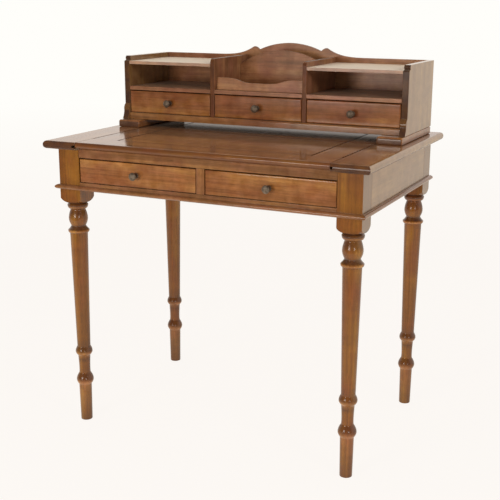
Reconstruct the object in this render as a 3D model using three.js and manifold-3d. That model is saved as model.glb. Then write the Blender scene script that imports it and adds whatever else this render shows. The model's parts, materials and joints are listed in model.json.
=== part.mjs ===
import * as THREE from 'three';
import { mergeVertices } from 'three/addons/utils/BufferGeometryUtils.js';
import Module from 'manifold-3d';

const wasm = await Module();
wasm.setup();

// A small writing desk: a case with two drawers on four turned legs, a writing
// slab that pulls forward between two end boards, and a gallery with three
// drawers, two pigeonholes and a letter rack standing on the end boards.
// Lengths are in millimetres. +Z is up, the desk faces -Y, and the origin is
// on the floor under the middle of the desk.

// Clearances
const seam = 0.3;              // between pieces that are glued or rest on each other
const runningGap = 0.6;        // around tongues that slide in a groove
const overrun = 5;             // how far a cut runs past the face it opens

// Case
const caseWidth = 804;
const caseDepth = 542;
const deskHeight = 760;        // floor to writing surface
const postWidth = 60;
const apronHeight = 104;
const apronThickness = 20;
const topRailHeight = 21.5;
const bottomRailHeight = 20;
const railDepth = 22;
const stileWidth = 22;
const tenonLength = 24;
const tenonThickness = 8;
const tenonShoulder = 4;       // shoulder above and below a tenon
const mouldingHeight = 12;
const mouldingProjection = 10;

// Drawer runners
const runnerWidth = 30;
const runnerHeight = 16;
const guideHeight = 40;

// Turned legs, from the floor up
const footRadius = 15.2;
const footTopRadius = 16.6;
const footHeight = 96;
const kneeRingHeight = 38;
const kneeRingRadius = 22.5;
const kneeRingTopRadius = 15;
const neckHeight = 44;
const neckRadius = 14.5;
const neckWaistShare = 0.4;
const neckTopRadius = 16;
const lowerRingHeight = 31;
const lowerRingRadius = 22.2;
const shaftFootRadius = 17.2;
const shaftTopRadius = 22.6;
const upperRingHeight = 23;
const upperRingRadius = 27.3;
const ballHeight = 44;
const ballRadius = 24.3;
const ballNeckRadius = 18.6;
const collarHeight = 18;
const collarRadius = 26.3;
const shoulderRadius = 24.5;
const shoulderHeight = 14;
const blockDrop = 36;          // how far the square block hangs below the case
const upperRingPeakShare = 0.48;
const collarPeakShare = 0.5;
const ballPeakShare = 0.42;
const shoulderArc = Math.PI / 3;
const legSides = 24;

// Top: end boards and the sliding slab
const topOverhangSide = 25;
const topOverhangEnd = 30;
const topThickness = 20;
const noseFlat = 2;            // flat left in the middle of the bullnose
const noseCornerRadius = 7;
const endBoardWidth = 92.5;
const slabSideGap = 1.5;
const slabFrontSetback = 3;    // slab nose behind the noses of the end boards
const slabLipThickness = 15;   // the slab's front lip is thinner than the slab
const slabFrontRailDepth = 78;
const slabRearRailDepth = 78;
const slabStileWidth = 73;
const panelGap = 0.8;          // shadow line round the panel
const tongueThickness = 5;
const tongueDepth = 6;

// Gallery
const gallerySetback = 10;     // rear of the gallery in front of the rear of the case
const galleryDepth = 219;
const sideThickness = 16;
const runnerFootHeight = 19;
const runnerFootWidth = 65;
const runnerFootReach = 37;    // foot in front of the drawer fronts
const runnerFootEdge = 6;
const scrollReach = 16;        // lower front edge of a side in front of its upper edge
const scrollHeight = 41;       // height of that lower part
const scrollLedge = 6;
const scrollDrop = 13;
const sideTopRadius = 11;
const baseBoardThickness = 17;
const baseBoardNose = 4;
const galleryOpeningHeight = 62;
const midShelfThickness = 10;
const pigeonholeHeight = 59.5;
const topShelfThickness = 8;
const sideRise = 13.5;         // sides above the top shelves
const dividerThickness = 11;
const dividerSpacing = 251;    // clear width of the middle bay
const backThickness = 10;

// Crest of the back board
const crestRise = 34.5;
const crestNotchRise = 14.5;
const crestNotchSpan = 92;
const crestTipRise = 23.2;
const crestTipReach = 16;      // from a notch out to its tip
const crestSweep = 107;        // from a tip out to the level wing
const crestBendShare = 0.25;
const crestLiftShare = 0.25;

// Letter rack in the middle bay
const rackThickness = 8;
const rackSlotDepth = 42;      // clear space between the rack board and the back board
const rackHeight = 97.5;
const rackShoulderHeight = 57.5;
const fenceThickness = 8;
const fenceSetback = 16;
const fenceHeight = 31.5;
const fenceDip = 12;
const fenceDipSpan = 97;
const fenceDipFloor = 25;      // half the level stretch at the bottom of the dip

// Case drawers
const drawerSideGap = 1.5;
const drawerTopGap = 2.7;
const drawerFootGap = 1;
const drawerInset = 1;
const drawerFrontThickness = 19;
const drawerFrontEase = 2.5;
const drawerSideThickness = 10;
const drawerSideDrop = 16.2;   // drawer sides below the top of the opening
const drawerRearGap = 81;      // behind a drawer, in front of the back apron
const drawerBottomThickness = 4;
const drawerBottomRise = 6;
const drawerGrooveDepth = 5;

// Gallery drawers
const trayFrontThickness = 14;
const trayWall = 8;
const traySideDrop = 15.7;     // tray walls below the middle shelf
const trayRearGap = 13;        // behind a tray, in front of the back board
const trayBottomThickness = 3;
const trayBottomRise = 4;
const trayGrooveDepth = 3;

// Knobs
const knobRadius = 10;
const knobHeight = 21;
const knobHeadThickness = 9;
const knobStemRadius = 5.2;
const knobCollarRadius = 7;
const knobCollarHeight = 3;
const knobSides = 20;

// Places worked out from the sizes above
const halfWidth = caseWidth / 2;
const halfDepth = caseDepth / 2;
const postInnerX = halfWidth - postWidth;
const postInnerY = halfDepth - postWidth;
const caseTop = deskHeight - topThickness - seam;
const caseBottom = caseTop - apronHeight;
const openingBottom = caseBottom + bottomRailHeight;
const openingTop = caseTop - topRailHeight;
const backInnerY = halfDepth - apronThickness;
const railBackY = -halfDepth + railDepth;
const blockBottom = caseBottom - blockDrop;
const topHalfWidth = halfWidth + topOverhangSide;
const topHalfDepth = halfDepth + topOverhangEnd;
const endBoardInnerX = topHalfWidth - endBoardWidth;
const slabHalfWidth = endBoardInnerX - slabSideGap;
const slabFrontY = -topHalfDepth + slabFrontSetback;
const slabRearY = topHalfDepth - slabFrontSetback;
const slabBottom = deskHeight - topThickness;
const tongueMiddle = deskHeight - topThickness / 2;
const galleryRearY = halfDepth - gallerySetback;
const galleryFrontY = galleryRearY - galleryDepth;
const sideInnerX = halfWidth - sideThickness;
const galleryFloor = deskHeight + runnerFootHeight + 2 * seam;
const galleryOpeningBottom = galleryFloor + baseBoardThickness;
const midShelfBottom = galleryOpeningBottom + galleryOpeningHeight;
const midShelfTop = midShelfBottom + midShelfThickness;
const topShelfBottom = midShelfTop + pigeonholeHeight;
const topShelfTop = topShelfBottom + topShelfThickness;
const sideTop = topShelfTop + sideRise;
const dividerInnerX = dividerSpacing / 2;
const dividerOuterX = dividerInnerX + dividerThickness;
const backFrontY = galleryRearY - backThickness;
const rackRearY = backFrontY - rackSlotDepth;
const crestTipSpan = crestNotchSpan + crestTipReach;
const crestWingSpan = crestTipSpan + crestSweep;

// Finishes
const stained = finish(0x96623c, 0.42, 0);
const stainedTop = finish(0x86593a, 0.3, 0);
const stainedDrawer = finish(0x9e6840, 0.4, 0);
const bareWood = finish(0xc9a678, 0.7, 0);
const pewter = finish(0x7f786c, 0.4, 0.9);

function finish(color, roughness, metalness) {
  return new THREE.MeshStandardMaterial({ color, roughness, metalness });
}

function piece(name, geometry, material) {
  const mesh = new THREE.Mesh(geometry, material);
  mesh.name = name;
  return mesh;
}

// A block between two corners, as [low, high] pairs on each axis.
function block([x0, x1], [y0, y1], [z0, z1]) {
  const geometry = new THREE.BoxGeometry(x1 - x0, y1 - y0, z1 - z0);
  return geometry.translate((x0 + x1) / 2, (y0 + y1) / 2, (z0 + z1) / 2);
}

// Turns a closed geometry into a solid that can be joined and cut.
function solid(geometry) {
  const bare = geometry.clone();
  bare.deleteAttribute('normal');
  bare.deleteAttribute('uv');
  const merged = mergeVertices(bare);
  const corners = merged.index.array;
  const triangles = [];
  for (let i = 0; i < corners.length; i += 3) {
    const [a, b, c] = [corners[i], corners[i + 1], corners[i + 2]];
    if (a !== b && b !== c && c !== a) triangles.push(a, b, c);
  }
  return new wasm.Manifold(new wasm.Mesh({
    numProp: 3,
    vertProperties: new Float32Array(merged.attributes.position.array),
    triVerts: new Uint32Array(triangles),
  }));
}

function geometryOf(manifold) {
  const mesh = manifold.getMesh();
  const geometry = new THREE.BufferGeometry();
  geometry.setAttribute('position', new THREE.BufferAttribute(mesh.vertProperties, 3));
  geometry.setIndex(new THREE.BufferAttribute(mesh.triVerts, 1));
  geometry.computeVertexNormals();
  return geometry;
}

function join(first, ...others) {
  return others.reduce((sum, other) => sum.add(solid(other)), first);
}

function cut(first, ...others) {
  return others.reduce((sum, other) => sum.subtract(solid(other)), first);
}

function extruded(outline, depth, curveSegments = 1) {
  return new THREE.ExtrudeGeometry(outline, { depth, bevelEnabled: false, curveSegments });
}

// An outline drawn in Y and Z, run along X.
function runAlongX(outline, x0, x1, curveSegments) {
  const geometry = extruded(outline, x1 - x0, curveSegments);
  const turn = new THREE.Matrix4().makeBasis(
    new THREE.Vector3(0, 1, 0), new THREE.Vector3(0, 0, 1), new THREE.Vector3(1, 0, 0));
  return geometry.applyMatrix4(turn).translate(x0, 0, 0);
}

// An outline drawn in X and Z, run along Y.
function runAlongY(outline, y0, y1, curveSegments) {
  const geometry = extruded(outline, y1 - y0, curveSegments);
  const turn = new THREE.Matrix4().makeBasis(
    new THREE.Vector3(1, 0, 0), new THREE.Vector3(0, 0, 1), new THREE.Vector3(0, -1, 0));
  return geometry.applyMatrix4(turn).translate(0, y1, 0);
}

function rectangle(x0, x1, y0, y1) {
  const outline = new THREE.Shape();
  outline.moveTo(x0, y0);
  outline.lineTo(x1, y0);
  outline.lineTo(x1, y1);
  outline.lineTo(x0, y1);
  return outline;
}

// A drawer front: a board whose edges are eased all round.
function easedFront([x0, x1], [y0, y1], [z0, z1], ease) {
  const outline = rectangle(x0 + ease, x1 - ease, z0 + ease, z1 - ease);
  const geometry = new THREE.ExtrudeGeometry(outline, {
    depth: y1 - y0 - 2 * ease,
    bevelThickness: ease,
    bevelSize: ease,
    bevelSegments: 3,
  });
  const turn = new THREE.Matrix4().makeBasis(
    new THREE.Vector3(1, 0, 0), new THREE.Vector3(0, 0, 1), new THREE.Vector3(0, -1, 0));
  return geometry.applyMatrix4(turn).translate(0, y1 - ease, 0);
}

// Turned profile: a swelling between two necks, each given as its height and
// radius, and widest at a share of the way up.
function swelling([low, lowRadius], [high, highRadius], radius, peakShare) {
  const points = [];
  const steps = 8;
  for (let i = 0; i <= steps; i++) {
    const t = i / steps;
    const rise = t < peakShare ? t / peakShare : (1 - t) / (1 - peakShare);
    const neck = THREE.MathUtils.lerp(lowRadius, highRadius, t);
    const neckAtPeak = THREE.MathUtils.lerp(lowRadius, highRadius, peakShare);
    const reach = (radius - neckAtPeak) * Math.sin(rise * Math.PI / 2);
    points.push(new THREE.Vector2(neck + reach, THREE.MathUtils.lerp(low, high, t)));
  }
  return points;
}

function turned(profile, sides) {
  return new THREE.LatheGeometry(profile, sides).rotateX(Math.PI / 2);
}

// The turning of a leg, from the floor to inside its square block.
function legTurning() {
  const kneeRingTop = footHeight + kneeRingHeight;
  const neckTop = kneeRingTop + neckHeight;
  const lowerRingTop = neckTop + lowerRingHeight;
  const collarBottom = blockBottom - collarHeight;
  const ballBottom = collarBottom - ballHeight;
  const shaftTop = ballBottom - upperRingHeight;
  const kneeRing = swelling(
    [footHeight, footTopRadius], [kneeRingTop, kneeRingTopRadius], kneeRingRadius, 1 / 2);
  const lowerRing = swelling(
    [neckTop, neckTopRadius], [lowerRingTop, shaftFootRadius], lowerRingRadius, 1 / 2);
  const upperRing = swelling(
    [shaftTop, shaftTopRadius], [ballBottom, ballNeckRadius], upperRingRadius, upperRingPeakShare);
  const ball = swelling(
    [ballBottom, ballNeckRadius], [collarBottom, ballNeckRadius], ballRadius, ballPeakShare);
  const collar = swelling(
    [collarBottom, ballNeckRadius], [blockBottom, shoulderRadius], collarRadius, collarPeakShare);
  return turned([
    new THREE.Vector2(0, 0),
    new THREE.Vector2(footRadius, 0),
    ...kneeRing,
    new THREE.Vector2(neckRadius, kneeRingTop + neckHeight * neckWaistShare),
    ...lowerRing,
    ...upperRing,
    ...ball.slice(1),
    ...collar.slice(1),
    new THREE.Vector2(shoulderRadius, blockBottom + seam),
    new THREE.Vector2(0, blockBottom + seam),
  ], legSides);
}

// The square post with its lower corners turned away towards the collar.
function legBlock() {
  const cornerRadius = Math.hypot(postWidth, postWidth) / 2 + seam;
  const shoulder = [new THREE.Vector2(0, blockBottom)];
  const steps = 5;
  for (let i = 0; i <= steps; i++) {
    const angle = i / steps * shoulderArc;
    shoulder.push(new THREE.Vector2(
      shoulderRadius + (cornerRadius - shoulderRadius) * Math.sin(angle) / Math.sin(shoulderArc),
      blockBottom + shoulderHeight * (1 - Math.cos(angle)) / (1 - Math.cos(shoulderArc))));
  }
  shoulder.push(new THREE.Vector2(cornerRadius, caseTop + overrun));
  shoulder.push(new THREE.Vector2(0, caseTop + overrun));
  const half = postWidth / 2;
  const square = block([-half, half], [-half, half], [blockBottom, caseTop]);
  return solid(square).intersect(solid(turned(shoulder, legSides * 2)));
}

// Heights of the tenons that meet a post: full height of an apron, or of one rail.
const apronSpan = [caseBottom, caseTop];
const topRailSpan = [openingTop, caseTop];
const bottomRailSpan = [caseBottom, openingBottom];

function tenonSpan([low, high]) {
  return [low + tenonShoulder, high - tenonShoulder];
}

function grow([low, high], by) {
  return [low - by, high + by];
}

// Every post takes a side apron's tenon and, on its other inner face, the back
// apron's tenon or the two front rails' tenons. Mirrored for each corner.
function leg(name, sideX, sideY) {
  const centreX = sideX * (halfWidth - postWidth / 2);
  const centreY = sideY * (halfDepth - postWidth / 2);
  const turning = legTurning().translate(centreX, centreY, 0);
  const post = legBlock().translate([centreX, centreY, 0]);
  const mortiseDepth = tenonLength + seam;
  const apronX = ordered(sideX * apronTenonX()[0], sideX * apronTenonX()[1]);
  const apronY = ordered(sideY * (postInnerY - overrun), sideY * (postInnerY + mortiseDepth));
  const railX = ordered(sideX * (postInnerX - overrun), sideX * (postInnerX + mortiseDepth));
  const mortises = [block(grow(apronX, seam), apronY, grow(tenonSpan(apronSpan), seam))];
  const railY = sideY > 0 ? backTenonY() : frontTenonY();
  const spans = sideY > 0 ? [apronSpan] : [topRailSpan, bottomRailSpan];
  for (const span of spans) mortises.push(block(railX, grow(railY, seam), grow(tenonSpan(span), seam)));
  return piece(name, geometryOf(cut(join(post, turning), ...mortises)), stained);
}

function ordered(a, b) {
  return [Math.min(a, b), Math.max(a, b)];
}

// Tenons sit in the middle of the aprons and rails they are cut on.
function apronTenonX() {
  const middle = halfWidth - apronThickness / 2;
  return [middle - tenonThickness / 2, middle + tenonThickness / 2];
}

function backTenonY() {
  const middle = halfDepth - apronThickness / 2;
  return [middle - tenonThickness / 2, middle + tenonThickness / 2];
}

function frontTenonY() {
  const middle = -halfDepth + railDepth / 2;
  return [middle - tenonThickness / 2, middle + tenonThickness / 2];
}

function sideApron(name, side) {
  const outer = ordered(side * (halfWidth - apronThickness), side * halfWidth);
  const tenonX = ordered(side * apronTenonX()[0], side * apronTenonX()[1]);
  const reach = postInnerY - seam;
  const body = solid(block(outer, [-reach, reach], apronSpan));
  const tenon = block(tenonX, [-reach - tenonLength, reach + tenonLength], tenonSpan(apronSpan));
  return piece(name, geometryOf(join(body, tenon)), stained);
}

function crossRail(name, depth, tenonY, span) {
  const reach = postInnerX - seam;
  const body = solid(block([-reach, reach], depth, span));
  const tenon = block([-reach - tenonLength, reach + tenonLength], tenonY, tenonSpan(span));
  return piece(name, geometryOf(join(body, tenon)), stained);
}

// The half-round strip round the foot of the case, mitred at the front corners.
function mouldingOutline(face, side) {
  const middle = caseBottom + mouldingHeight / 2;
  const start = side > 0 ? -Math.PI / 2 : Math.PI / 2;
  const outline = new THREE.Shape();
  outline.absellipse(
    side * face, middle, mouldingProjection, mouldingHeight / 2, start, start + Math.PI, false, 0);
  return outline;
}

function frontMoulding() {
  const reach = halfWidth + 2 * mouldingProjection;
  const strip = solid(runAlongX(mouldingOutline(halfDepth + seam, -1), -reach, reach, 8));
  return piece('moulding_front', geometryOf(cut(strip, besideMitre(-1), besideMitre(1))), stained);
}

function sideMoulding(name, side) {
  const front = -halfDepth - 2 * mouldingProjection;
  const strip = solid(runAlongY(mouldingOutline(halfWidth + seam, side), front, halfDepth, 8));
  return piece(name, geometryOf(cut(strip, beforeMitre(side))), stained);
}

// A mitre runs outwards at 45 degrees from a front corner of the case. The
// front strip loses what lies beside it, the side strip what lies before it.
function besideMitre(side) {
  const reach = 3 * mouldingProjection;
  const start = halfWidth - seam;
  return mitreGround(side, [[start, 0], [start + reach, reach], [start + reach, 0]]);
}

function beforeMitre(side) {
  const reach = 3 * mouldingProjection;
  return mitreGround(side, [[halfWidth, 0], [halfWidth + reach, reach], [halfWidth, reach]]);
}

function mitreGround(side, corners) {
  const points = corners.map(([x, out]) => new THREE.Vector2(side * x, -halfDepth - out));
  const ground = new THREE.Shape(points);
  return extruded(ground, mouldingHeight + 2 * overrun).translate(0, 0, caseBottom - overrun);
}

function caseFrame() {
  const frame = new THREE.Group();
  const back = [backInnerY, halfDepth];
  const front = [-halfDepth, railBackY];
  const stileX = [-stileWidth / 2, stileWidth / 2];
  frame.add(
    leg('leg_front_left', -1, -1),
    leg('leg_front_right', 1, -1),
    leg('leg_back_left', -1, 1),
    leg('leg_back_right', 1, 1),
    sideApron('side_apron_left', -1),
    sideApron('side_apron_right', 1),
    crossRail('back_apron', back, backTenonY(), apronSpan),
    crossRail('top_rail', front, frontTenonY(), topRailSpan),
    crossRail('bottom_rail', front, frontTenonY(), bottomRailSpan),
    piece('centre_stile', block(stileX, front, grow([openingBottom, openingTop], -seam)), stained),
    frontMoulding(),
    sideMoulding('moulding_left', -1),
    sideMoulding('moulding_right', 1),
  );
  return frame;
}

// Runners carry the drawers from the bottom rail to the back apron. The middle
// one has an upstand that keeps the two drawers apart.
function drawerRunners() {
  const runners = new THREE.Group();
  const run = [railBackY + seam, backInnerY - seam];
  const level = [openingBottom - runnerHeight, openingBottom];
  for (const [name, side] of [['drawer_runner_left', -1], ['drawer_runner_right', 1]]) {
    const outer = postInnerX - seam;
    const width = ordered(side * outer, side * (outer - runnerWidth));
    runners.add(piece(name, block(width, run, level), bareWood));
  }
  const middle = new THREE.Shape();
  const half = stileWidth / 2;
  middle.moveTo(-half - runnerWidth, level[0]);
  middle.lineTo(half + runnerWidth, level[0]);
  middle.lineTo(half + runnerWidth, level[1]);
  middle.lineTo(half, level[1]);
  middle.lineTo(half, level[1] + guideHeight);
  middle.lineTo(-half, level[1] + guideHeight);
  middle.lineTo(-half, level[1]);
  middle.lineTo(-half - runnerWidth, level[1]);
  runners.add(piece('drawer_runner_centre', runAlongY(middle, ...run, 1), bareWood));
  return runners;
}

// A drawer of the case: an eased front, two sides, a back and a thin bottom
// held in grooves in the front and the sides.
function caseDrawer(name, side) {
  const drawer = new THREE.Group();
  const [x0, x1] = ordered(side * (stileWidth / 2 + drawerSideGap), side * (postInnerX - drawerSideGap));
  const frontY = -halfDepth + drawerInset;
  const frontRear = frontY + drawerFrontThickness;
  const frontZ = [openingBottom + drawerFootGap, openingTop - drawerTopGap];
  const low = openingBottom + seam;
  const high = openingTop - drawerSideDrop;
  const boxY = [frontRear + seam, backInnerY - drawerRearGap];
  const bottomZ = [low + drawerBottomRise, low + drawerBottomRise + drawerBottomThickness];
  const inner = [x0 + drawerSideThickness, x1 - drawerSideThickness];
  const grooveX = grow(inner, drawerGrooveDepth);
  const grooveFront = frontRear - drawerGrooveDepth;
  const groove = block(grooveX, [grooveFront, boxY[1] + overrun], grow(bottomZ, seam));
  const front = solid(easedFront([x0, x1], [frontY, frontRear], frontZ, drawerFrontEase));
  const left = solid(block([x0, inner[0]], boxY, [low, high]));
  const right = solid(block([inner[1], x1], boxY, [low, high]));
  const backY = [boxY[1] - drawerSideThickness, boxY[1]];
  const back = block(grow(inner, -seam), backY, [bottomZ[1] + seam, high]);
  const bottom = block(grow(grooveX, -seam), [grooveFront + seam, boxY[1]], bottomZ);
  drawer.add(
    piece(`${name}_front`, geometryOf(cut(front, groove)), stainedDrawer),
    piece(`${name}_side_left`, geometryOf(cut(left, groove)), bareWood),
    piece(`${name}_side_right`, geometryOf(cut(right, groove)), bareWood),
    piece(`${name}_back`, back, bareWood),
    piece(`${name}_bottom`, bottom, bareWood),
    knob(`${name}_knob`, (x0 + x1) / 2, frontY - seam, (frontZ[0] + frontZ[1]) / 2),
  );
  return drawer;
}

// A drawer of the gallery: an eased front on a tray of one bent wall, whose
// bottom slides into a groove before the front closes it.
function galleryDrawer(name, [from, to]) {
  const drawer = new THREE.Group();
  const [x0, x1] = [from + drawerSideGap, to - drawerSideGap];
  const frontY = galleryFrontY;
  const frontRear = frontY + trayFrontThickness;
  const frontZ = [galleryOpeningBottom + drawerFootGap, midShelfBottom - drawerTopGap];
  const low = galleryOpeningBottom + seam;
  const high = midShelfBottom - traySideDrop;
  const trayY = [frontRear + seam, backFrontY - trayRearGap];
  const inner = [x0 + trayWall, x1 - trayWall];
  const bottomZ = [low + trayBottomRise, low + trayBottomRise + trayBottomThickness];
  const wall = solid(block([x0, x1], trayY, [low, high]));
  const spaceEnd = trayY[1] - trayWall;
  const space = block(inner, [frontRear - overrun, spaceEnd], grow([low, high], overrun));
  const grooveX = grow(inner, trayGrooveDepth);
  const grooveEnd = spaceEnd + trayGrooveDepth;
  const groove = block(grooveX, [frontRear - overrun, grooveEnd], grow(bottomZ, seam));
  const front = easedFront([x0, x1], [frontY, frontRear], frontZ, drawerFrontEase);
  const bottom = block(grow(grooveX, -seam), [trayY[0], grooveEnd - seam], bottomZ);
  drawer.add(
    piece(`${name}_front`, front, stainedDrawer),
    piece(`${name}_tray`, geometryOf(cut(wall, space, groove)), bareWood),
    piece(`${name}_bottom`, bottom, bareWood),
    knob(`${name}_knob`, (x0 + x1) / 2, frontY - seam, (frontZ[0] + frontZ[1]) / 2),
  );
  return drawer;
}

// A mushroom knob that stands out towards the front from a point on a drawer.
function knob(name, x, y, z) {
  const headBottom = knobHeight - knobHeadThickness;
  const profile = [
    new THREE.Vector2(0, 0),
    new THREE.Vector2(knobCollarRadius, 0),
    new THREE.Vector2(knobStemRadius, knobCollarHeight),
    new THREE.Vector2(knobStemRadius, headBottom - knobCollarHeight),
  ];
  const steps = 6;
  for (let i = 0; i <= steps; i++) {
    const angle = (i / steps - 1 / 4) * Math.PI * 2 / 3;
    const reach = knobRadius * Math.cos(angle);
    const rise = headBottom + knobHeadThickness * (1 + Math.sin(angle)) / 2;
    profile.push(new THREE.Vector2(i === steps ? 0 : reach, i === steps ? knobHeight : rise));
  }
  const geometry = new THREE.LatheGeometry(profile, knobSides).rotateX(Math.PI);
  return piece(name, geometry.translate(x, y, z), pewter);
}

// An end board has a bullnose on its front, outer and rear edges. Its inner
// edge is square, with a groove along it for the tongue of the slab.
function endBoard(name, side) {
  const nose = (topThickness - noseFlat) / 2;
  const [x0, x1] = ordered(side * (endBoardInnerX - overrun), side * (topHalfWidth - nose));
  const [y0, y1] = [-topHalfDepth + nose, topHalfDepth - nose];
  const radius = noseCornerRadius;
  const outline = new THREE.Shape();
  outline.moveTo(x0 + radius, y0);
  outline.absarc(x1 - radius, y0 + radius, radius, -Math.PI / 2, 0, false);
  outline.absarc(x1 - radius, y1 - radius, radius, 0, Math.PI / 2, false);
  outline.absarc(x0 + radius, y1 - radius, radius, Math.PI / 2, Math.PI, false);
  outline.absarc(x0 + radius, y0 + radius, radius, Math.PI, Math.PI * 1.5, false);
  const rounded = new THREE.ExtrudeGeometry(outline, {
    depth: noseFlat,
    bevelThickness: nose,
    bevelSize: nose,
    bevelSegments: 5,
    curveSegments: 3,
  }).translate(0, 0, deskHeight - topThickness + nose);
  const wholeLength = grow([-topHalfDepth, topHalfDepth], overrun);
  const waste = block(
    ordered(side * (endBoardInnerX - 3 * overrun - nose), side * endBoardInnerX),
    wholeLength,
    grow([slabBottom, deskHeight], overrun));
  const groove = block(
    ordered(side * (endBoardInnerX - overrun), side * (endBoardInnerX + tongueDepth + runningGap)),
    wholeLength,
    grow(tongueSpan(), runningGap));
  return piece(name, geometryOf(cut(solid(rounded), waste, groove)), stainedTop);
}

function tongueSpan() {
  return [tongueMiddle - tongueThickness / 2, tongueMiddle + tongueThickness / 2];
}

// The front and rear rails of the slab. Each has a rounded lip that overhangs
// the case and, on its other edge, a groove for the stiles and the panel.
function slabRail(name, side, depth) {
  const nose = slabLipThickness / 2;
  const tip = side < 0 ? -slabFrontY : slabRearY;
  const inner = tip - depth;
  const [grooveLow, grooveHigh] = grow(tongueSpan(), seam);
  const points = [[inner, slabBottom], [inner, grooveLow], [inner + tongueDepth, grooveLow]];
  points.push([inner + tongueDepth, grooveHigh], [inner, grooveHigh], [inner, deskHeight]);
  const steps = 8;
  for (let i = 0; i <= steps; i++) {
    const angle = Math.PI * (1 / 2 - i / steps);
    points.push([tip - nose + nose * Math.cos(angle), deskHeight - nose + nose * Math.sin(angle)]);
  }
  points.push([halfDepth, deskHeight - slabLipThickness], [halfDepth, slabBottom]);
  const outline = new THREE.Shape(points.map(([out, z]) => new THREE.Vector2(side * out, z)));
  return piece(name, runAlongX(outline, -slabHalfWidth, slabHalfWidth, 1), stainedTop);
}

function slabStile(name, side, [y0, y1]) {
  const stileX = ordered(side * (slabHalfWidth - slabStileWidth), side * slabHalfWidth);
  const slidingX = ordered(side * (slabHalfWidth - overrun), side * (endBoardInnerX + tongueDepth));
  const grooveX = ordered(
    side * (slabHalfWidth - slabStileWidth - overrun),
    side * (slabHalfWidth - slabStileWidth + tongueDepth));
  const length = [y0 + seam, y1 - seam];
  const body = solid(block(stileX, length, [slabBottom, deskHeight]));
  const ends = block(stileX, grow(length, tongueDepth - 2 * seam), tongueSpan());
  const tongue = block(slidingX, length, tongueSpan());
  const groove = block(grooveX, grow(length, 2 * tongueDepth), grow(tongueSpan(), seam));
  return piece(name, geometryOf(cut(join(body, ends, tongue), groove)), stainedTop);
}

function slabPanel([y0, y1]) {
  const openX = slabHalfWidth - slabStileWidth;
  const clearX = [-openX + panelGap, openX - panelGap];
  const clearY = [y0 + panelGap, y1 - panelGap];
  const reach = tongueDepth - seam;
  const body = solid(block(clearX, clearY, [slabBottom, deskHeight]));
  const sideTongues = block(grow([-openX, openX], reach), clearY, tongueSpan());
  const endTongues = block(clearX, grow([y0, y1], reach), tongueSpan());
  return piece('slab_panel', geometryOf(join(body, sideTongues, endTongues)), stainedTop);
}

function writingSlab() {
  const slab = new THREE.Group();
  const clear = [slabFrontY + slabFrontRailDepth, slabRearY - slabRearRailDepth];
  slab.add(
    slabRail('slab_front_rail', -1, slabFrontRailDepth),
    slabRail('slab_rear_rail', 1, slabRearRailDepth),
    slabStile('slab_stile_left', -1, clear),
    slabStile('slab_stile_right', 1, clear),
    slabPanel(clear),
  );
  return slab;
}

// Rounds the corner of a side outline between its top and its front edge.
function roundFrontTop(outline, front, top, radius) {
  outline.absarc(front + radius, top - radius, radius, Math.PI / 2, Math.PI, false);
}

// A runner foot carries a gallery side on an end board.
function galleryFoot(name, side) {
  const low = deskHeight + seam;
  const high = low + runnerFootHeight;
  const front = galleryFrontY - runnerFootReach;
  const outline = new THREE.Shape();
  outline.moveTo(galleryRearY, low);
  outline.lineTo(galleryRearY, high);
  roundFrontTop(outline, front, high, runnerFootEdge);
  outline.lineTo(front, low);
  const [x0, x1] = ordered(side * (halfWidth - runnerFootWidth), side * halfWidth);
  return piece(name, runAlongX(outline, x0, x1, 4), stained);
}

// A side of the gallery. Below the drawers its front edge steps forward over a
// small ledge and a rounded nose.
function gallerySide(name, side) {
  const scrollTop = galleryFloor + scrollHeight;
  const scrollFront = galleryFrontY - scrollReach;
  const noseReach = scrollReach - scrollLedge;
  const outline = new THREE.Shape();
  outline.moveTo(galleryRearY, galleryFloor);
  outline.lineTo(galleryRearY, sideTop);
  roundFrontTop(outline, galleryFrontY, sideTop, sideTopRadius);
  outline.lineTo(galleryFrontY, scrollTop);
  const noseMiddle = [scrollFront + noseReach, scrollTop - scrollDrop];
  outline.absellipse(...noseMiddle, noseReach, scrollDrop, Math.PI / 2, Math.PI, false, 0);
  outline.lineTo(scrollFront, galleryFloor);
  const [x0, x1] = ordered(side * sideInnerX, side * halfWidth);
  return piece(name, runAlongX(outline, x0, x1, 5), stained);
}

// Dividers and the middle shelf are halved into each other: the divider keeps
// its front half where they cross, the shelf its rear half.
const halvingY = (galleryFrontY + backFrontY) / 2;

function divider(name, side) {
  const rear = backFrontY - seam;
  const outline = new THREE.Shape();
  outline.moveTo(galleryFrontY, galleryOpeningBottom + seam);
  outline.lineTo(rear, galleryOpeningBottom + seam);
  outline.lineTo(rear, sideTop);
  roundFrontTop(outline, galleryFrontY, sideTop, sideTopRadius);
  const [x0, x1] = ordered(side * dividerInnerX, side * dividerOuterX);
  const board = solid(runAlongX(outline, x0, x1, 5));
  const halving = block(
    grow([x0, x1], overrun), [halvingY, rear + overrun], grow([midShelfBottom, midShelfTop], seam));
  return piece(name, geometryOf(cut(board, halving)), stained);
}

function middleShelf() {
  const reach = sideInnerX - seam;
  const level = [midShelfBottom, midShelfTop];
  const board = solid(block([-reach, reach], [galleryFrontY, backFrontY - seam], level));
  const halvings = [-1, 1].map((side) => block(
    grow(ordered(side * dividerInnerX, side * dividerOuterX), seam),
    [galleryFrontY - overrun, halvingY + seam],
    grow(level, overrun)));
  return piece('middle_shelf', geometryOf(cut(board, ...halvings)), stained);
}

function topShelf(name, side) {
  const width = ordered(side * (dividerOuterX + seam), side * (sideInnerX - seam));
  const board = block(width, [galleryFrontY, backFrontY - seam], [topShelfBottom, topShelfTop]);
  return piece(name, board, stained);
}

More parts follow.
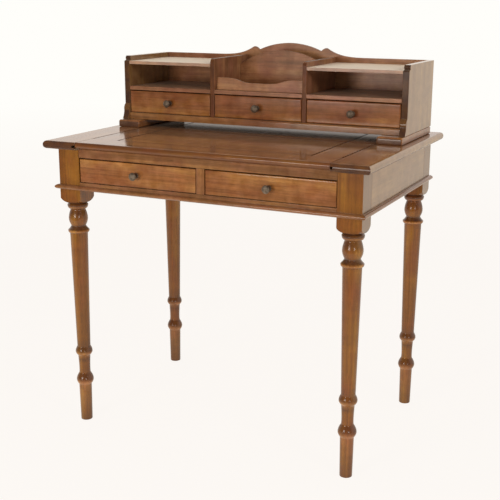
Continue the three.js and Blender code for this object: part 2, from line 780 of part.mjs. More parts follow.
function baseBoard() {
  const front = galleryFrontY - baseBoardNose;
  const outline = new THREE.Shape();
  outline.moveTo(front, galleryFloor);
  outline.lineTo(backFrontY - seam, galleryFloor);
  outline.lineTo(backFrontY - seam, galleryOpeningBottom);
  roundFrontTop(outline, front, galleryOpeningBottom, baseBoardNose);
  const reach = sideInnerX - seam;
  return piece('base_board', runAlongX(outline, -reach, reach, 4), stained);
}

// The back board rises from level wings through a tip and a small notch on
// each side to one wide arch.
function backBoard() {
  const reach = sideInnerX - seam;
  const archRise = crestRise - crestNotchRise;
  const archRadius = (crestNotchSpan ** 2 + archRise ** 2) / (2 * archRise);
  const archAngle = Math.asin(crestNotchSpan / archRadius);
  const tip = sideTop + crestTipRise;
  const notch = sideTop + crestNotchRise;
  const middle = (crestNotchSpan + crestTipSpan) / 2;
  const bend = (crestWingSpan - crestTipSpan) * crestBendShare;
  const lift = sideTop + crestTipRise * crestLiftShare;
  const outline = new THREE.Shape();
  outline.moveTo(-reach, galleryFloor);
  outline.lineTo(reach, galleryFloor);
  outline.lineTo(reach, sideTop);
  outline.lineTo(crestWingSpan, sideTop);
  outline.bezierCurveTo(crestWingSpan - 2 * bend, sideTop, crestTipSpan + bend, lift, crestTipSpan, tip);
  outline.quadraticCurveTo(middle, tip, crestNotchSpan, notch);
  const archMiddle = sideTop + crestRise - archRadius;
  outline.absarc(0, archMiddle, archRadius, Math.PI / 2 - archAngle, Math.PI / 2 + archAngle, false);
  outline.quadraticCurveTo(-middle, tip, -crestTipSpan, tip);
  outline.bezierCurveTo(
    -crestTipSpan - bend, lift, -crestWingSpan + 2 * bend, sideTop, -crestWingSpan, sideTop);
  outline.lineTo(-reach, sideTop);
  return piece('back_board', runAlongY(outline, backFrontY, galleryRearY, 10), stained);
}

// The arched board of the letter rack stands in front of the back board.
function rackBoard() {
  const reach = dividerInnerX - seam;
  const foot = midShelfTop + seam;
  const archRise = rackHeight - rackShoulderHeight;
  const radius = (reach ** 2 + archRise ** 2) / (2 * archRise);
  const angle = Math.asin(reach / radius);
  const outline = new THREE.Shape();
  outline.moveTo(-reach, foot);
  outline.lineTo(reach, foot);
  outline.absarc(0, foot + rackHeight - radius, radius, Math.PI / 2 - angle, Math.PI / 2 + angle, false);
  const board = runAlongY(outline, rackRearY - rackThickness, rackRearY, 16);
  return piece('letter_rack_board', board, stained);
}

// The low fence across the middle bay, dipped in the middle.
function fence() {
  const reach = dividerInnerX - seam;
  const foot = midShelfTop + seam;
  const top = foot + fenceHeight;
  const bend = (fenceDipSpan - fenceDipFloor) / 2;
  const floor = top - fenceDip;
  const outline = new THREE.Shape();
  outline.moveTo(-reach, foot);
  outline.lineTo(reach, foot);
  outline.lineTo(reach, top);
  outline.lineTo(fenceDipSpan, top);
  outline.bezierCurveTo(fenceDipSpan - bend, top, fenceDipFloor + bend, floor, fenceDipFloor, floor);
  outline.lineTo(-fenceDipFloor, floor);
  outline.bezierCurveTo(-fenceDipFloor - bend, floor, -fenceDipSpan + bend, top, -fenceDipSpan, top);
  outline.lineTo(-reach, top);
  const front = galleryFrontY + fenceSetback;
  return piece('rack_fence', runAlongY(outline, front, front + fenceThickness, 8), stained);
}

function gallery() {
  const group = new THREE.Group();
  group.add(
    galleryFoot('gallery_foot_left', -1),
    galleryFoot('gallery_foot_right', 1),
    gallerySide('gallery_side_left', -1),
    gallerySide('gallery_side_right', 1),
    divider('divider_left', -1),
    divider('divider_right', 1),
    baseBoard(),
    middleShelf(),
    topShelf('top_shelf_left', -1),
    topShelf('top_shelf_right', 1),
    backBoard(),
    rackBoard(),
    fence(),
    galleryDrawer('gallery_drawer_left', [-sideInnerX, -dividerOuterX]),
    galleryDrawer('gallery_drawer_middle', [-dividerInnerX, dividerInnerX]),
    galleryDrawer('gallery_drawer_right', [dividerOuterX, sideInnerX]),
  );
  return group;
}

const desk = new THREE.Group();
desk.add(
  caseFrame(),
  drawerRunners(),
  caseDrawer('case_drawer_left', -1),
  caseDrawer('case_drawer_right', 1),
  endBoard('end_board_left', -1),
  endBoard('end_board_right', 1),
  writingSlab(),
  gallery(),
);

export default desk;
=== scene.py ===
# %% [markdown]
# A small writing desk: four turned legs, a case with two drawers, a slab that
# pulls forward between two end boards, and a low gallery with three drawers.
# The joiner's model comes in first and stays put. Each of its pieces is then
# given the arrises, curves, stain and lacquer of the real desk.

# %% The joiner's model
import json
import math
import random

import bmesh
import bpy
from mathutils import Matrix, Vector

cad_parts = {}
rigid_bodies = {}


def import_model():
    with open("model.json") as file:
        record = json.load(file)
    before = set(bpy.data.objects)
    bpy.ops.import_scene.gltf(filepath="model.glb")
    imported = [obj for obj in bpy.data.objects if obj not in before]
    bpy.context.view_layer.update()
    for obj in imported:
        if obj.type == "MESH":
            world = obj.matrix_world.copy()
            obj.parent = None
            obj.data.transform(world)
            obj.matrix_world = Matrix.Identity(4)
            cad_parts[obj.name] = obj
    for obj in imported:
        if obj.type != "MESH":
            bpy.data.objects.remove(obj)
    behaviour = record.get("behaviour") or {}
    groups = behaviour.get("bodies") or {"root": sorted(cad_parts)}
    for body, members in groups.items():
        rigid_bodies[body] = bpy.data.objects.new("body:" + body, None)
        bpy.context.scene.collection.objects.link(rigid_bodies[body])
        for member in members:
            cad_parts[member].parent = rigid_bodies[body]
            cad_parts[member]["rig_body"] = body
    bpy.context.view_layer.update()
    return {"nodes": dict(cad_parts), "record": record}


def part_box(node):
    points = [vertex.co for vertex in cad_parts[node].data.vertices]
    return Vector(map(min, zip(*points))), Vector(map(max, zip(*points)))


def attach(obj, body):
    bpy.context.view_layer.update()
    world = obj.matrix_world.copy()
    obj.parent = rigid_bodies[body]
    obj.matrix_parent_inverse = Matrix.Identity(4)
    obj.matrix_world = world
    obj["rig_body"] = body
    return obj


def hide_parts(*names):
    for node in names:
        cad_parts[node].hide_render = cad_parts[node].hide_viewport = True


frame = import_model()
NODES = frame["nodes"]
SLOT_OF = {row["node"]: row["material_slot"] for row in frame["record"]["subparts"]}
MM = 0.001
print("pieces in the joiner's model:", len(NODES))

# %% [markdown]
# Stain is named by its colour on a finished board, the way a maker picks it
# from a card, and shaders want it linear. A few short helpers keep the node
# work readable: one puts a node down with its wires, one works on numbers,
# one lays a colour over another, and two make ramps and stretched noise.

# %% Colours and node helpers
def stain(card):
    """A colour card such as 9e6840 as a linear colour, by the curve that screens use."""
    shares = [int(card[i:i + 2], 16) / 255 for i in (0, 2, 4)]
    linear = [s / 12.92 if s <= 0.04045 else ((s + 0.055) / 1.055) ** 2.4 for s in shares]
    return (*linear, 1.0)


def put(tree, kind, wires=None, **settings):
    """One shader node, with its settings, values and wires."""
    made = tree.nodes.new("ShaderNode" + kind)
    for name, value in settings.items():
        setattr(made, name, value)
    for socket, value in (wires or {}).items():
        plug = made.inputs[socket]
        if isinstance(value, bpy.types.NodeSocket):
            tree.links.new(value, plug)
        else:
            plug.default_value = value
    return made


def number(tree, operation, first, second=0.0):
    """A sum, product or other step on two numbers."""
    return put(tree, "Math", {0: first, 1: second}, operation=operation).outputs[0]


def tint(tree, mask, under, over, mode="MIX"):
    """One colour laid over another through a mask."""
    made = put(tree, "Mix", {0: mask, 6: under, 7: over}, data_type="RGBA", blend_type=mode)
    return made.outputs[2]


def spread(tree, value, low, high, to_low=0.0, to_high=1.0):
    """A value stretched from one range to another, and held at its ends."""
    wires = {"Value": value, "From Min": low, "From Max": high, "To Min": to_low, "To Max": to_high}
    return put(tree, "MapRange", wires).outputs[0]


def noise(tree, vector, size, detail=2.0, distortion=0.0):
    """Noise whose lumps measure size, in metres, along each axis."""
    stretched = put(tree, "VectorMath", {0: vector, 1: [1 / s for s in size]}, operation="MULTIPLY")
    wires = {"Vector": stretched.outputs[0], "Scale": 1.0, "Detail": detail, "Distortion": distortion}
    return put(tree, "TexNoise", wires).outputs[0]


print("white card as a linear colour:", stain("ffffff"))

# %% [markdown]
# The wood is a plain-sawn tropical hardwood under a brown stain. Up close it
# has short dark pores along the grain; from a step away one sees streaks,
# slow bands of gold and red, faint growth lines and a cross ripple. A picture
# of wood would repeat and smear on the turnings, so all of it is noise
# stretched along the grain, in one node group that every board shares. The
# sizes below say how far each kind runs along the grain and across it.

# %% Node group: board figure
WANDER_SIZE = (0.35, 0.06, 0.06)
BAND_SIZE = (0.55, 0.030, 0.030)
STREAK_SIZE = (0.16, 0.0045, 0.0045)
PATCH_SIZE = (0.09, 0.045, 0.045)
RIPPLE_SIZE = (0.018, 0.09, 0.09)
PORE_SIZE = (0.016, 0.0009, 0.0009)
WANDER_REACH = 0.02
RING_STRETCH = (0.07, 1.0, 1.0)
RINGS = {"Scale": 24.0, "Distortion": 5.0, "Detail": 2.0, "Detail Scale": 14.0}


def new_group(name, takes, gives):
    """An empty node group with named sockets, and the plugs at its two ends."""
    group = bpy.data.node_groups.new(name, "ShaderNodeTree")
    for label, kind in takes:
        group.interface.new_socket(label, in_out="INPUT", socket_type="NodeSocket" + kind)
    for label, kind in gives:
        group.interface.new_socket(label, in_out="OUTPUT", socket_type="NodeSocket" + kind)
    start = group.nodes.new("NodeGroupInput")
    end = group.nodes.new("NodeGroupOutput")
    return group, start.outputs, end.inputs


def board_figure():
    """Colour, pores and height of a board whose grain runs along X of its Vector."""
    takes = [("Vector", "Vector"), ("Dark", "Color"), ("Ground", "Color"), ("Gold", "Color"),
             ("Red", "Color"), ("Figure", "Float")]
    gives = [("Color", "Color"), ("Pores", "Float"), ("Height", "Float")]
    group, start, end = new_group("board figure", takes, gives)
    vector = start["Vector"]
    wander = number(group, "MULTIPLY", noise(group, vector, WANDER_SIZE, 1.0), WANDER_REACH)
    shift = put(group, "CombineXYZ", {"Y": wander}).outputs[0]
    along = put(group, "VectorMath", {0: vector, 1: shift}, operation="ADD").outputs[0]
    bands = noise(group, along, BAND_SIZE, 3.0, 0.3)
    streaks = noise(group, along, STREAK_SIZE, 3.0)
    patches = noise(group, vector, PATCH_SIZE, 3.0)
    ripple = noise(group, vector, RIPPLE_SIZE, 2.0)
    dashes = noise(group, along, PORE_SIZE, 1.0)
    flat = put(group, "VectorMath", {0: along, 1: RING_STRETCH}, operation="MULTIPLY").outputs[0]
    rings = put(group, "TexWave", {"Vector": flat, **RINGS},
                wave_type="RINGS", rings_direction="X", wave_profile="SAW").outputs[1]
    colour = tint(group, spread(group, bands, 0.30, 0.55), start["Dark"], start["Ground"])
    colour = tint(group, spread(group, bands, 0.50, 0.78), colour, start["Gold"])
    colour = tint(group, spread(group, patches, 0.42, 0.68), colour, start["Red"])
    shade = spread(group, streaks, 0.3, 0.7, 0.78, 1.16)
    shade = number(group, "MULTIPLY", shade, spread(group, ripple, 0.3, 0.7, 0.90, 1.10))
    shade = number(group, "MULTIPLY", shade, spread(group, rings, 0.0, 1.0, 1.05, 0.90))
    even = number(group, "SUBTRACT", shade, 1.0)
    shade = number(group, "ADD", number(group, "MULTIPLY", even, start["Figure"]), 1.0)
    pores = spread(group, dashes, 0.60, 0.70)
    shade = number(group, "MULTIPLY", shade, spread(group, pores, 0.0, 1.0, 1.0, 0.72))
    grey = put(group, "CombineColor", {0: shade, 1: shade, 2: shade}).outputs[0]
    group.links.new(tint(group, 1.0, colour, grey, "MULTIPLY"), end["Color"])
    group.links.new(pores, end["Pores"])
    height = number(group, "SUBTRACT", number(group, "MULTIPLY", streaks, 0.5), pores)
    group.links.new(height, end["Height"])
    return group


FIGURE = board_figure()
print("node group:", FIGURE.name, "with", len(FIGURE.nodes), "nodes")

# %% [markdown]
# Stain and glaze don't lie evenly. End grain drinks more of it, and the
# hollows of a turning hold glaze that the rag can't reach. The same
# darkening also carries painted shade: on the upper halves of the turnings
# and on the slab under the gallery. Worn arrises are lighter, and the same
# lightening carries painted highlights on the lower lips of the turnings and
# along the eased edges of the boards. The second group takes the figured
# colour and darkens or lightens it by these. It also thins the lacquer where
# polish has worn, and leaves undersides bare of it, so legs, boards and drawer
# fronts all age alike.

# %% Node group: glaze and handling
END_GRAIN_TURN = (0.75, 0.97)
END_GRAIN_SHARE = 0.7
UNEVEN_SIZE = (0.03, 0.03, 0.03)
# The lightening of worn arrises and of the painted highlights on lips and edges.
WEAR_AND_HIGHLIGHT_SHIFT = {"Hue": 0.508, "Saturation": 0.84, "Value": 2.5}
UNDERSIDE_TURN = (-0.95, -0.85)


def glaze_and_handling():
    """Darkens end grain, glaze and painted shade, lightens worn arrises and painted highlights, and thins
    the lacquer.
    """
    takes = [("Color", "Color"), ("Glaze", "Color"), ("Grain", "Vector"), ("Lacquer", "Float")]
    gives = [("Color", "Color"), ("Dull", "Float"), ("Lacquer", "Float")]
    group, start, end = new_group("glaze and handling", takes, gives)
    normal = put(group, "TexCoord").outputs["Normal"]
    facing = put(group, "VectorMath", {0: normal, 1: start["Grain"]}, operation="DOT_PRODUCT")
    squareness = number(group, "ABSOLUTE", facing.outputs["Value"])
    end_grain = spread(group, squareness, *END_GRAIN_TURN, 0.0, END_GRAIN_SHARE)
    # hollow carries glaze and painted shade; arris carries edge wear and painted highlights.
    hollow = put(group, "Attribute", attribute_name="hollow").outputs["Fac"]
    arris = put(group, "Attribute", attribute_name="arris").outputs["Fac"]
    place = put(group, "TexCoord").outputs["Object"]
    uneven = spread(group, noise(group, place, UNEVEN_SIZE, 3.0), 0.35, 0.65, 0.6, 1.0)
    glaze_and_shade = number(group, "MULTIPLY", hollow, uneven)
    darkening = number(group, "MAXIMUM", glaze_and_shade, end_grain)
    colour = tint(group, darkening, start["Color"], start["Glaze"])
    wear_and_highlight = number(group, "MULTIPLY", arris, spread(group, uneven, 0.6, 1.0, 0.3, 0.8))
    paler = put(group, "HueSaturation", {**WEAR_AND_HIGHLIGHT_SHIFT, "Color": colour}).outputs[0]
    group.links.new(tint(group, wear_and_highlight, colour, paler), end["Color"])
    group.links.new(number(group, "MAXIMUM", glaze_and_shade, wear_and_highlight), end["Dull"])
    upward = put(group, "SeparateXYZ", {0: normal}).outputs["Z"]
    worn = put(group, "Attribute", attribute_name="worn").outputs["Fac"]
    kept = number(group, "SUBTRACT", 1.0, worn)
    kept = number(group, "MULTIPLY", spread(group, upward, *UNDERSIDE_TURN), kept)
    group.links.new(number(group, "MULTIPLY", kept, start["Lacquer"]), end["Lacquer"])
    return group


HANDLING = glaze_and_handling()
print("node group:", HANDLING.name, "with", len(HANDLING.nodes), "nodes")

# %% [markdown]
# The desk is one wood under one stain, but it doesn't look alike all over. The
# legs are golden under a thicker, tinted lacquer that deepens towards the
# edges of each turning. The sides are pale and cloudy, partly in their own
# tone and partly by painted light, standing for the light they catch and the
# bright backdrop they mirror. The shelves of the gallery are nearly matt, the
# drawer fronts the cleanest. So each finish has four tones and a glaze, and
# says where its lacquer departs from the common one.

# %% Table of finishes
COMMON = dict(glaze="3c2218", figure=0.8, rough=0.5, gloss=0.0, lacquer=1.0,
              coat_rough=0.14, ior=1.5, sheen=0.0, tint="ffffff")


def tones(dark, ground, gold, red, **changes):
    """The four tones of a finish, with what sets it apart from the common lacquer."""
    return dict(COMMON, dark=dark, ground=ground, gold=gold, red=red, **changes)


FINISHES = {
    "stained_wood": tones("5a3612", "78481c", "885a24", "724020", sheen=0.1),
    "stained_leg": tones("865924", "a87426", "c8993b", "9e632c", glaze="43302f",
                         coat_rough=0.18, tint="cebcae"),
    # Its pale tones are partly painted light: the sides catch light and mirror the bright backdrop.
    "stained_side_painted_light": tones("66421e", "7e5626", "8a6230", "764e28", glaze="3a2824",
                          figure=0.35, coat_rough=0.1, ior=1.6, sheen=0.35),
    "stained_board": tones("643e20", "82502e", "926436", "7c482e", lacquer=0.6,
                           coat_rough=0.3, sheen=0.08),
    "stained_shelf": tones("704420", "925e30", "a6743a", "8c522e", gloss=0.8,
                           coat_rough=0.42, ior=1.9, sheen=1.0),
    "stained_top": tones("643a16", "7c481a", "8c5a22", "76401a", glaze="3a2c28",
                         coat_rough=0.13, sheen=0.05),
    "stained_drawer": tones("62360f", "7e4817", "946222", "763f19", glaze="3f241a",
                            figure=0.9, coat_rough=0.09),
    "stained_small": tones("5e3210", "76400e", "8a5618", "703816", glaze="3f241a",
                           figure=0.9, lacquer=0.85, coat_rough=0.09),
    "bare_wood": tones("a98458", "c8a778", "d6b98a", "bf9468", glaze="a07c52",
                       rough=0.68, gloss=0.3, lacquer=0.0, coat_rough=0.3),
}
print("finishes:", ", ".join(FINISHES))

# %% [markdown]
# Each finish comes in the three directions in which a board can lie. A
# Mapping node turns the grain to X, and a vector painted on each board slides
# it to its own place in the log, so no two boards match. The lacquer is the
# shader's coat, over a wood that has no gloss of its own, and what is the same
# all over a board is set straight on the shader.

# %% Wood materials
GRAIN_TURN = {"x": (0, 0, 0), "y": (0, 0, -90), "z": (0, 90, 0)}
GRAIN_AXIS = {"x": (1, 0, 0), "y": (0, 1, 0), "z": (0, 0, 1)}
PORE_ROUGH = 0.15
DULL_ROUGH = 0.12
GRAIN_BUMP = {"Strength": 0.25, "Distance": 0.0004}
SHEEN_ROUGH = 0.4
SHEEN_CARD = "fff2dc"


def wood(finish, grain):
    """The finish as a material, on a board whose grain runs along one axis."""
    look = FINISHES[finish]
    material = bpy.data.materials.new(f"{finish}_{grain}")
    material.use_nodes = True
    tree = material.node_tree
    shader = tree.nodes["Principled BSDF"]
    board = put(tree, "Attribute", attribute_name="board").outputs["Vector"]
    place = put(tree, "TexCoord").outputs["Object"]
    turn = [math.radians(a) for a in GRAIN_TURN[grain]]
    turned = put(tree, "Mapping", {"Vector": place, "Rotation": turn}).outputs[0]
    own = put(tree, "VectorMath", {0: turned, 1: board}, operation="ADD").outputs[0]
    stains = {label: stain(look[label.lower()]) for label in ("Dark", "Ground", "Gold", "Red")}
    figure = put(tree, "Group", {"Vector": own, "Figure": look["figure"], **stains}, node_tree=FIGURE)
    handled = put(tree, "Group", {"Color": figure.outputs["Color"], "Glaze": stain(look["glaze"]),
                                  "Grain": GRAIN_AXIS[grain], "Lacquer": look["lacquer"]},
                  node_tree=HANDLING)
    tree.links.new(handled.outputs["Color"], shader.inputs["Base Color"])
    rough = put(tree, "Math", {0: figure.outputs["Pores"], 1: PORE_ROUGH, 2: look["rough"]},
                operation="MULTIPLY_ADD").outputs[0]
    rough = number(tree, "ADD", rough, number(tree, "MULTIPLY", handled.outputs["Dull"], DULL_ROUGH))
    tree.links.new(rough, shader.inputs["Roughness"])
    bump = put(tree, "Bump", {**GRAIN_BUMP, "Height": figure.outputs["Height"]})
    tree.links.new(bump.outputs[0], shader.inputs["Normal"])
    if finish != "bare_wood":
        tree.links.new(handled.outputs["Lacquer"], shader.inputs["Coat Weight"])
    all_over = {"Specular IOR Level": look["gloss"], "Coat Roughness": look["coat_rough"],
                "Coat IOR": look["ior"], "Coat Tint": stain(look["tint"]),
                "Sheen Weight": look["sheen"], "Sheen Roughness": SHEEN_ROUGH,
                "Sheen Tint": stain(SHEEN_CARD)}
    for socket, value in all_over.items():
        shader.inputs[socket].default_value = value
    return material


WOOD = {(finish, grain): wood(finish, grain) for finish in FINISHES for grain in "xyz"}
print("wood materials:", len(WOOD))

# %% [markdown]
# The knobs are cast pewter, dull and grey, darker where fingers don't reach.
# A mottled roughness and a darker tone in the hollow under the head do that;
# the metal itself needs no picture.

# %% Pewter
MOTTLE_SIZE = (0.004, 0.004, 0.004)
SPECK_SIZE = (0.0009, 0.0009, 0.0009)
CAST_BUMP = {"Strength": 0.2, "Distance": 0.0003}
METAL_SHARE = 0.7


def pewter():
    """Mottled grey metal, nearly black in the hollow under the head."""
    material = bpy.data.materials.new("pewter")
    material.use_nodes = True
    tree = material.node_tree
    shader = tree.nodes["Principled BSDF"]
    place = put(tree, "TexCoord").outputs["Object"]
    mottle = noise(tree, place, MOTTLE_SIZE, 4.0)
    specks = noise(tree, place, SPECK_SIZE, 2.0)
    colour = tint(tree, spread(tree, mottle, 0.35, 0.65), stain("625446"), stain("8c7c6c"))
    hollow = put(tree, "Attribute", attribute_name="hollow").outputs["Fac"]
    colour = tint(tree, hollow, colour, stain("231b16"))
    tree.links.new(colour, shader.inputs["Base Color"])
    tree.links.new(spread(tree, mottle, 0.3, 0.7, 0.42, 0.6), shader.inputs["Roughness"])
    bump = put(tree, "Bump", {**CAST_BUMP, "Height": specks})
    tree.links.new(bump.outputs[0], shader.inputs["Normal"])
    shader.inputs["Metallic"].default_value = METAL_SHARE
    return material


PEWTER = pewter()
print("metal:", PEWTER.name)

# %% [markdown]
# Every piece is handed over the same way: it gets its place in the log, a
# finish, the body it moves with and a name after the piece of the model that
# it stands for, which is hidden. Glaze and painted shade, worn edges and
# painted highlights, and worn polish are painted on it as attributes.
# Weighted normals keep broad faces flat up to their arrises.

# %% Handing a piece over
LOG_LENGTH = 3
LOG_RADIUS = 0.12
# Eased edges are lighter, partly from wear and partly as a painted highlight.
ARRIS_WEAR_AND_HIGHLIGHT = 0.5
log = random.Random(7)


def place_in_log():
    """Where a board was cut from the log, along the grain and across it."""
    return [log.uniform(-reach, reach) for reach in (LOG_LENGTH, LOG_RADIUS, LOG_RADIUS)]


def paint(mesh, name, kind, domain, values):
    """Writes one value for each point or face of a mesh."""
    layer = mesh.attributes.new(name, kind, domain)
    for row, value in zip(layer.data, values):
        if kind == "FLOAT_VECTOR":
            row.vector = value
        else:
            row.value = value


def hand_over(work, node, material, hollow=None, wear_and_highlight=None, face_glaze_and_shade=None, worn=None):
    """Turns a bmesh into the finished piece that stands for a node."""
    mesh = bpy.data.meshes.new(f"{node}_dressed")
    bmesh.ops.recalc_face_normals(work, faces=work.faces)
    arris = [face.tag and not (face_glaze_and_shade and face_glaze_and_shade(face)) for face in work.faces]
    glaze = [face_glaze_and_shade(face) for face in work.faces] if face_glaze_and_shade else []
    bare = [worn(face) for face in work.faces] if worn else []
    work.to_mesh(mesh)
    work.free()
    for face in mesh.polygons:
        face.use_smooth = True
    paint(mesh, "board", "FLOAT_VECTOR", "POINT", [place_in_log()] * len(mesh.vertices))
    # Lightening given per point: the painted highlights on the lips of the legs.
    if wear_and_highlight:
        paint(mesh, "arris", "FLOAT", "POINT", [wear_and_highlight(v.co) for v in mesh.vertices])
    else:
        paint(mesh, "arris", "FLOAT", "FACE", [ARRIS_WEAR_AND_HIGHLIGHT * tagged for tagged in arris])
    # Per point: glaze and painted shade on the legs, patina under the knob heads; per face: glaze, painted
    # shade under the gallery, a lighter ledge.
    if hollow:
        paint(mesh, "hollow", "FLOAT", "POINT", [hollow(v.co) for v in mesh.vertices])
    if glaze:
        paint(mesh, "hollow", "FLOAT", "FACE", glaze)
    if bare:
        paint(mesh, "worn", "FLOAT", "FACE", bare)
    mesh.materials.append(material)
    piece = bpy.data.objects.new(f"{node}_dressed", mesh)
    bpy.context.scene.collection.objects.link(piece)
    flatten = piece.modifiers.new("flat faces", "WEIGHTED_NORMAL")
    flatten.keep_sharp = True
    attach(piece, NODES[node]["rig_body"])
    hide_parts(node)
    return piece


# %% [markdown]
# A board fresh from the joiner has knife-sharp arrises and, where it is
# curved, flats from the model's straight steps. A copy is merged into a clean
# solid, the shallow corners between the flats are rolled into arcs, and then
# the sharp arrises are eased with a fine bevel, as a maker does with paper on
# a block. The model itself is never touched.

# %% Cleaning and easing a board
MERGE = 0.001 * MM
IN_LINE = 0.01 * MM
LEVEL = 0.1 * MM
FLAT_ANGLE = math.radians(1.0)
ARRIS_ANGLE = math.radians(32.0)
SAME_FACE_ANGLE = math.radians(0.3)
FLAT_SIZES = [(5 * MM, 60 * MM), (1.5 * MM, 5 * MM), (0.3 * MM, 1.5 * MM)]
ROLL_SHARE = 0.4
ROLL_STEPS = 3


def bevel(work, edges, width, steps):
    """Rounds edges, and tags the faces that this made."""
    made = bmesh.ops.bevel(work, geom=edges, offset=width, offset_type="OFFSET", segments=steps,
                           affect="EDGES", profile=0.5, material=-1, clamp_overlap=True)
    for face in made["faces"]:
        face.tag = True


def untag(work):
    for face in work.faces:
        face.tag = False


def clean_copy(node):
    """The node's solid, merged, with its flat faces whole."""
    work = bmesh.new()
    work.from_mesh(NODES[node].data)
    bmesh.ops.remove_doubles(work, verts=work.verts, dist=MERGE)
    bmesh.ops.dissolve_limit(work, angle_limit=SAME_FACE_ANGLE, verts=work.verts, edges=work.edges)
    return work


def room_beside(edge):
    """The shortest way along the solid from an edge to the next corner."""
    beside = [e for v in edge.verts for e in v.link_edges if e != edge]
    return min(e.calc_length() for e in beside)


def roll_flats(work):
    """Rounds the shallow corners between the flats of a curve, the broad flats first."""
    untag(work)
    for least, most in FLAT_SIZES:
        shallow = [e for e in work.edges if FLAT_ANGLE < e.calc_face_angle(0) < ARRIS_ANGLE
                   and least <= room_beside(e) < most and not any(f.tag for f in e.link_faces)]
        if shallow:
            bevel(work, shallow, ROLL_SHARE * min(room_beside(e) for e in shallow), ROLL_STEPS)


def ease_arrises(work, width, steps=2, chosen=None):
    """Takes the sharpness off every arris, or off the chosen ones, and marks what was rubbed."""
    sharp = chosen or [e for e in work.edges if e.calc_face_angle(0) >= ARRIS_ANGLE]
    untag(work)
    bevel(work, sharp, width, steps)


print("arrises are eased above", round(math.degrees(ARRIS_ANGLE)), "degrees")

# %% [markdown]
# The slab is a frame round a panel, and fine grooves run front to back where
# its boards meet each other and the end boards. They are the darkest lines of
# the top, because glaze lies in them and no polish reached them. The slab's
# front edge is darker too. Under the gallery the lacquer is dull and a little
# painted shade darkens the wood, so the slab is cut into narrow strips there
# to fade both in.

# %% Joints and shade of the slab
GALLERY_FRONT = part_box("gallery_foot_left")[0].y
END_JOINT = (0.33, 0.34)
PANEL_JOINT = (0.25, 0.27)
JOINT_WIDTH = 2.4 * MM
PANEL_JOINT_WIDTH = 1.2 * MM
SLAB_ARRIS = 0.4 * MM
UPWARD = 0.97
JOINT_TURN = 0.2
SHADE_DEPTH = 12 * MM
SHADE_STRIP = 3 * MM
SHADE_STRIPS = 5
# A little painted shade on the slab where the gallery overhangs it.
SHADE_GLAZE = 0.1
SHADE_WEAR = 0.5
SLAB_EDGE_GLAZE = 0.33
SLAB_EDGE_TURN = -0.3


def long_joints(work, top, nearest, farthest):
    """The sharp upper edges that run front to back between two distances from the middle."""
    return [e for e in work.edges
            if e.calc_face_angle(0) >= ARRIS_ANGLE
            and min(v.co.z for v in e.verts) > top - LEVEL
            and abs(e.verts[0].co.x - e.verts[1].co.x) < IN_LINE
            and nearest < abs(e.verts[0].co.x) < farthest]


def joint_line(face):
    """Glaze in the grooves that run front to back between the boards, from 0 to 1."""
    return 1.0 if JOINT_TURN < face.normal.z < UPWARD and abs(face.normal.x) > JOINT_TURN else 0.0


def under_gallery(face):
    """How far a face of the slab lies in under the gallery, from 0 to 1."""
    depth = face.calc_center_median().y - GALLERY_FRONT
    return min(1.0, max(0.0, depth / SHADE_DEPTH)) if face.normal.z > UPWARD else 0.0


def slab_glaze_and_shade(face):
    """Glaze in the joints of the slab, a darker front edge, and a little painted shade under the gallery.
    """
    edge = SLAB_EDGE_GLAZE if face.normal.y < SLAB_EDGE_TURN else 0.0
    return max(joint_line(face), edge, SHADE_GLAZE * under_gallery(face))


def slab_wear(face):
    """Polish that never reached the joints, and was left dull under the gallery."""
    return max(joint_line(face), SHADE_WEAR * under_gallery(face))


def ease_slab(work, top):
    """Opens the joints of the slab, and marks off in strips where the gallery shades it."""
    ease_arrises(work, JOINT_WIDTH, chosen=long_joints(work, top, *END_JOINT))
    ease_arrises(work, PANEL_JOINT_WIDTH, chosen=long_joints(work, top, *PANEL_JOINT))
    ease_arrises(work, SLAB_ARRIS)
    for strip in range(SHADE_STRIPS):
        bmesh.ops.bisect_plane(
            work, geom=work.verts[:] + work.edges[:] + work.faces[:], dist=MERGE,
            plane_co=(0, GALLERY_FRONT + strip * SHADE_STRIP, 0), plane_no=(0, 1, 0))


print("the gallery begins at y =", round(GALLERY_FRONT, 3))

# %% [markdown]
# The other boards are dressed alike, with two exceptions: the feet of the
# gallery have a rounder upper edge, where hands and dusters pass, and the
# narrow front edges of the dividers hold more glaze. A few boards take another
# finish than their slot's, because they differ on the real desk too; the pale
# finish of the side aprons is partly painted light.

# %% Dressing a board
BOARD_ARRIS = 0.7 * MM
FOOT_ROUND = 4 * MM
FOOT_STEPS = 4
DIVIDER_GLAZE = 0.6
DIVIDER_TURN = -0.7
# The side aprons' pale finish is partly painted light.
SPECIAL_FINISH = {"gallery_foot_left": "stained_top", "gallery_foot_right": "stained_top",
                  "side_apron_left": "stained_side_painted_light", "side_apron_right": "stained_side_painted_light",
                  "top_shelf_left": "stained_shelf", "top_shelf_right": "stained_shelf"}
for node in ("back_board", "letter_rack_board", "divider_left", "divider_right", "middle_shelf",
             "rack_fence"):
    SPECIAL_FINISH[node] = "stained_board"


def ease_foot(work, corners):
    """Rounds the upper front edge of a gallery foot."""
    low, high = corners
    upper = [e for e in work.edges if min(v.co.z for v in e.verts) > high.z - LEVEL
             and max(v.co.y for v in e.verts) < low.y + LEVEL]
    ease_arrises(work, FOOT_ROUND, FOOT_STEPS, chosen=upper)


def divider_glaze(face):
    """Glaze on the narrow front edge of a divider, from 0 to 1."""
    return DIVIDER_GLAZE if face.normal.y < DIVIDER_TURN else 0.0


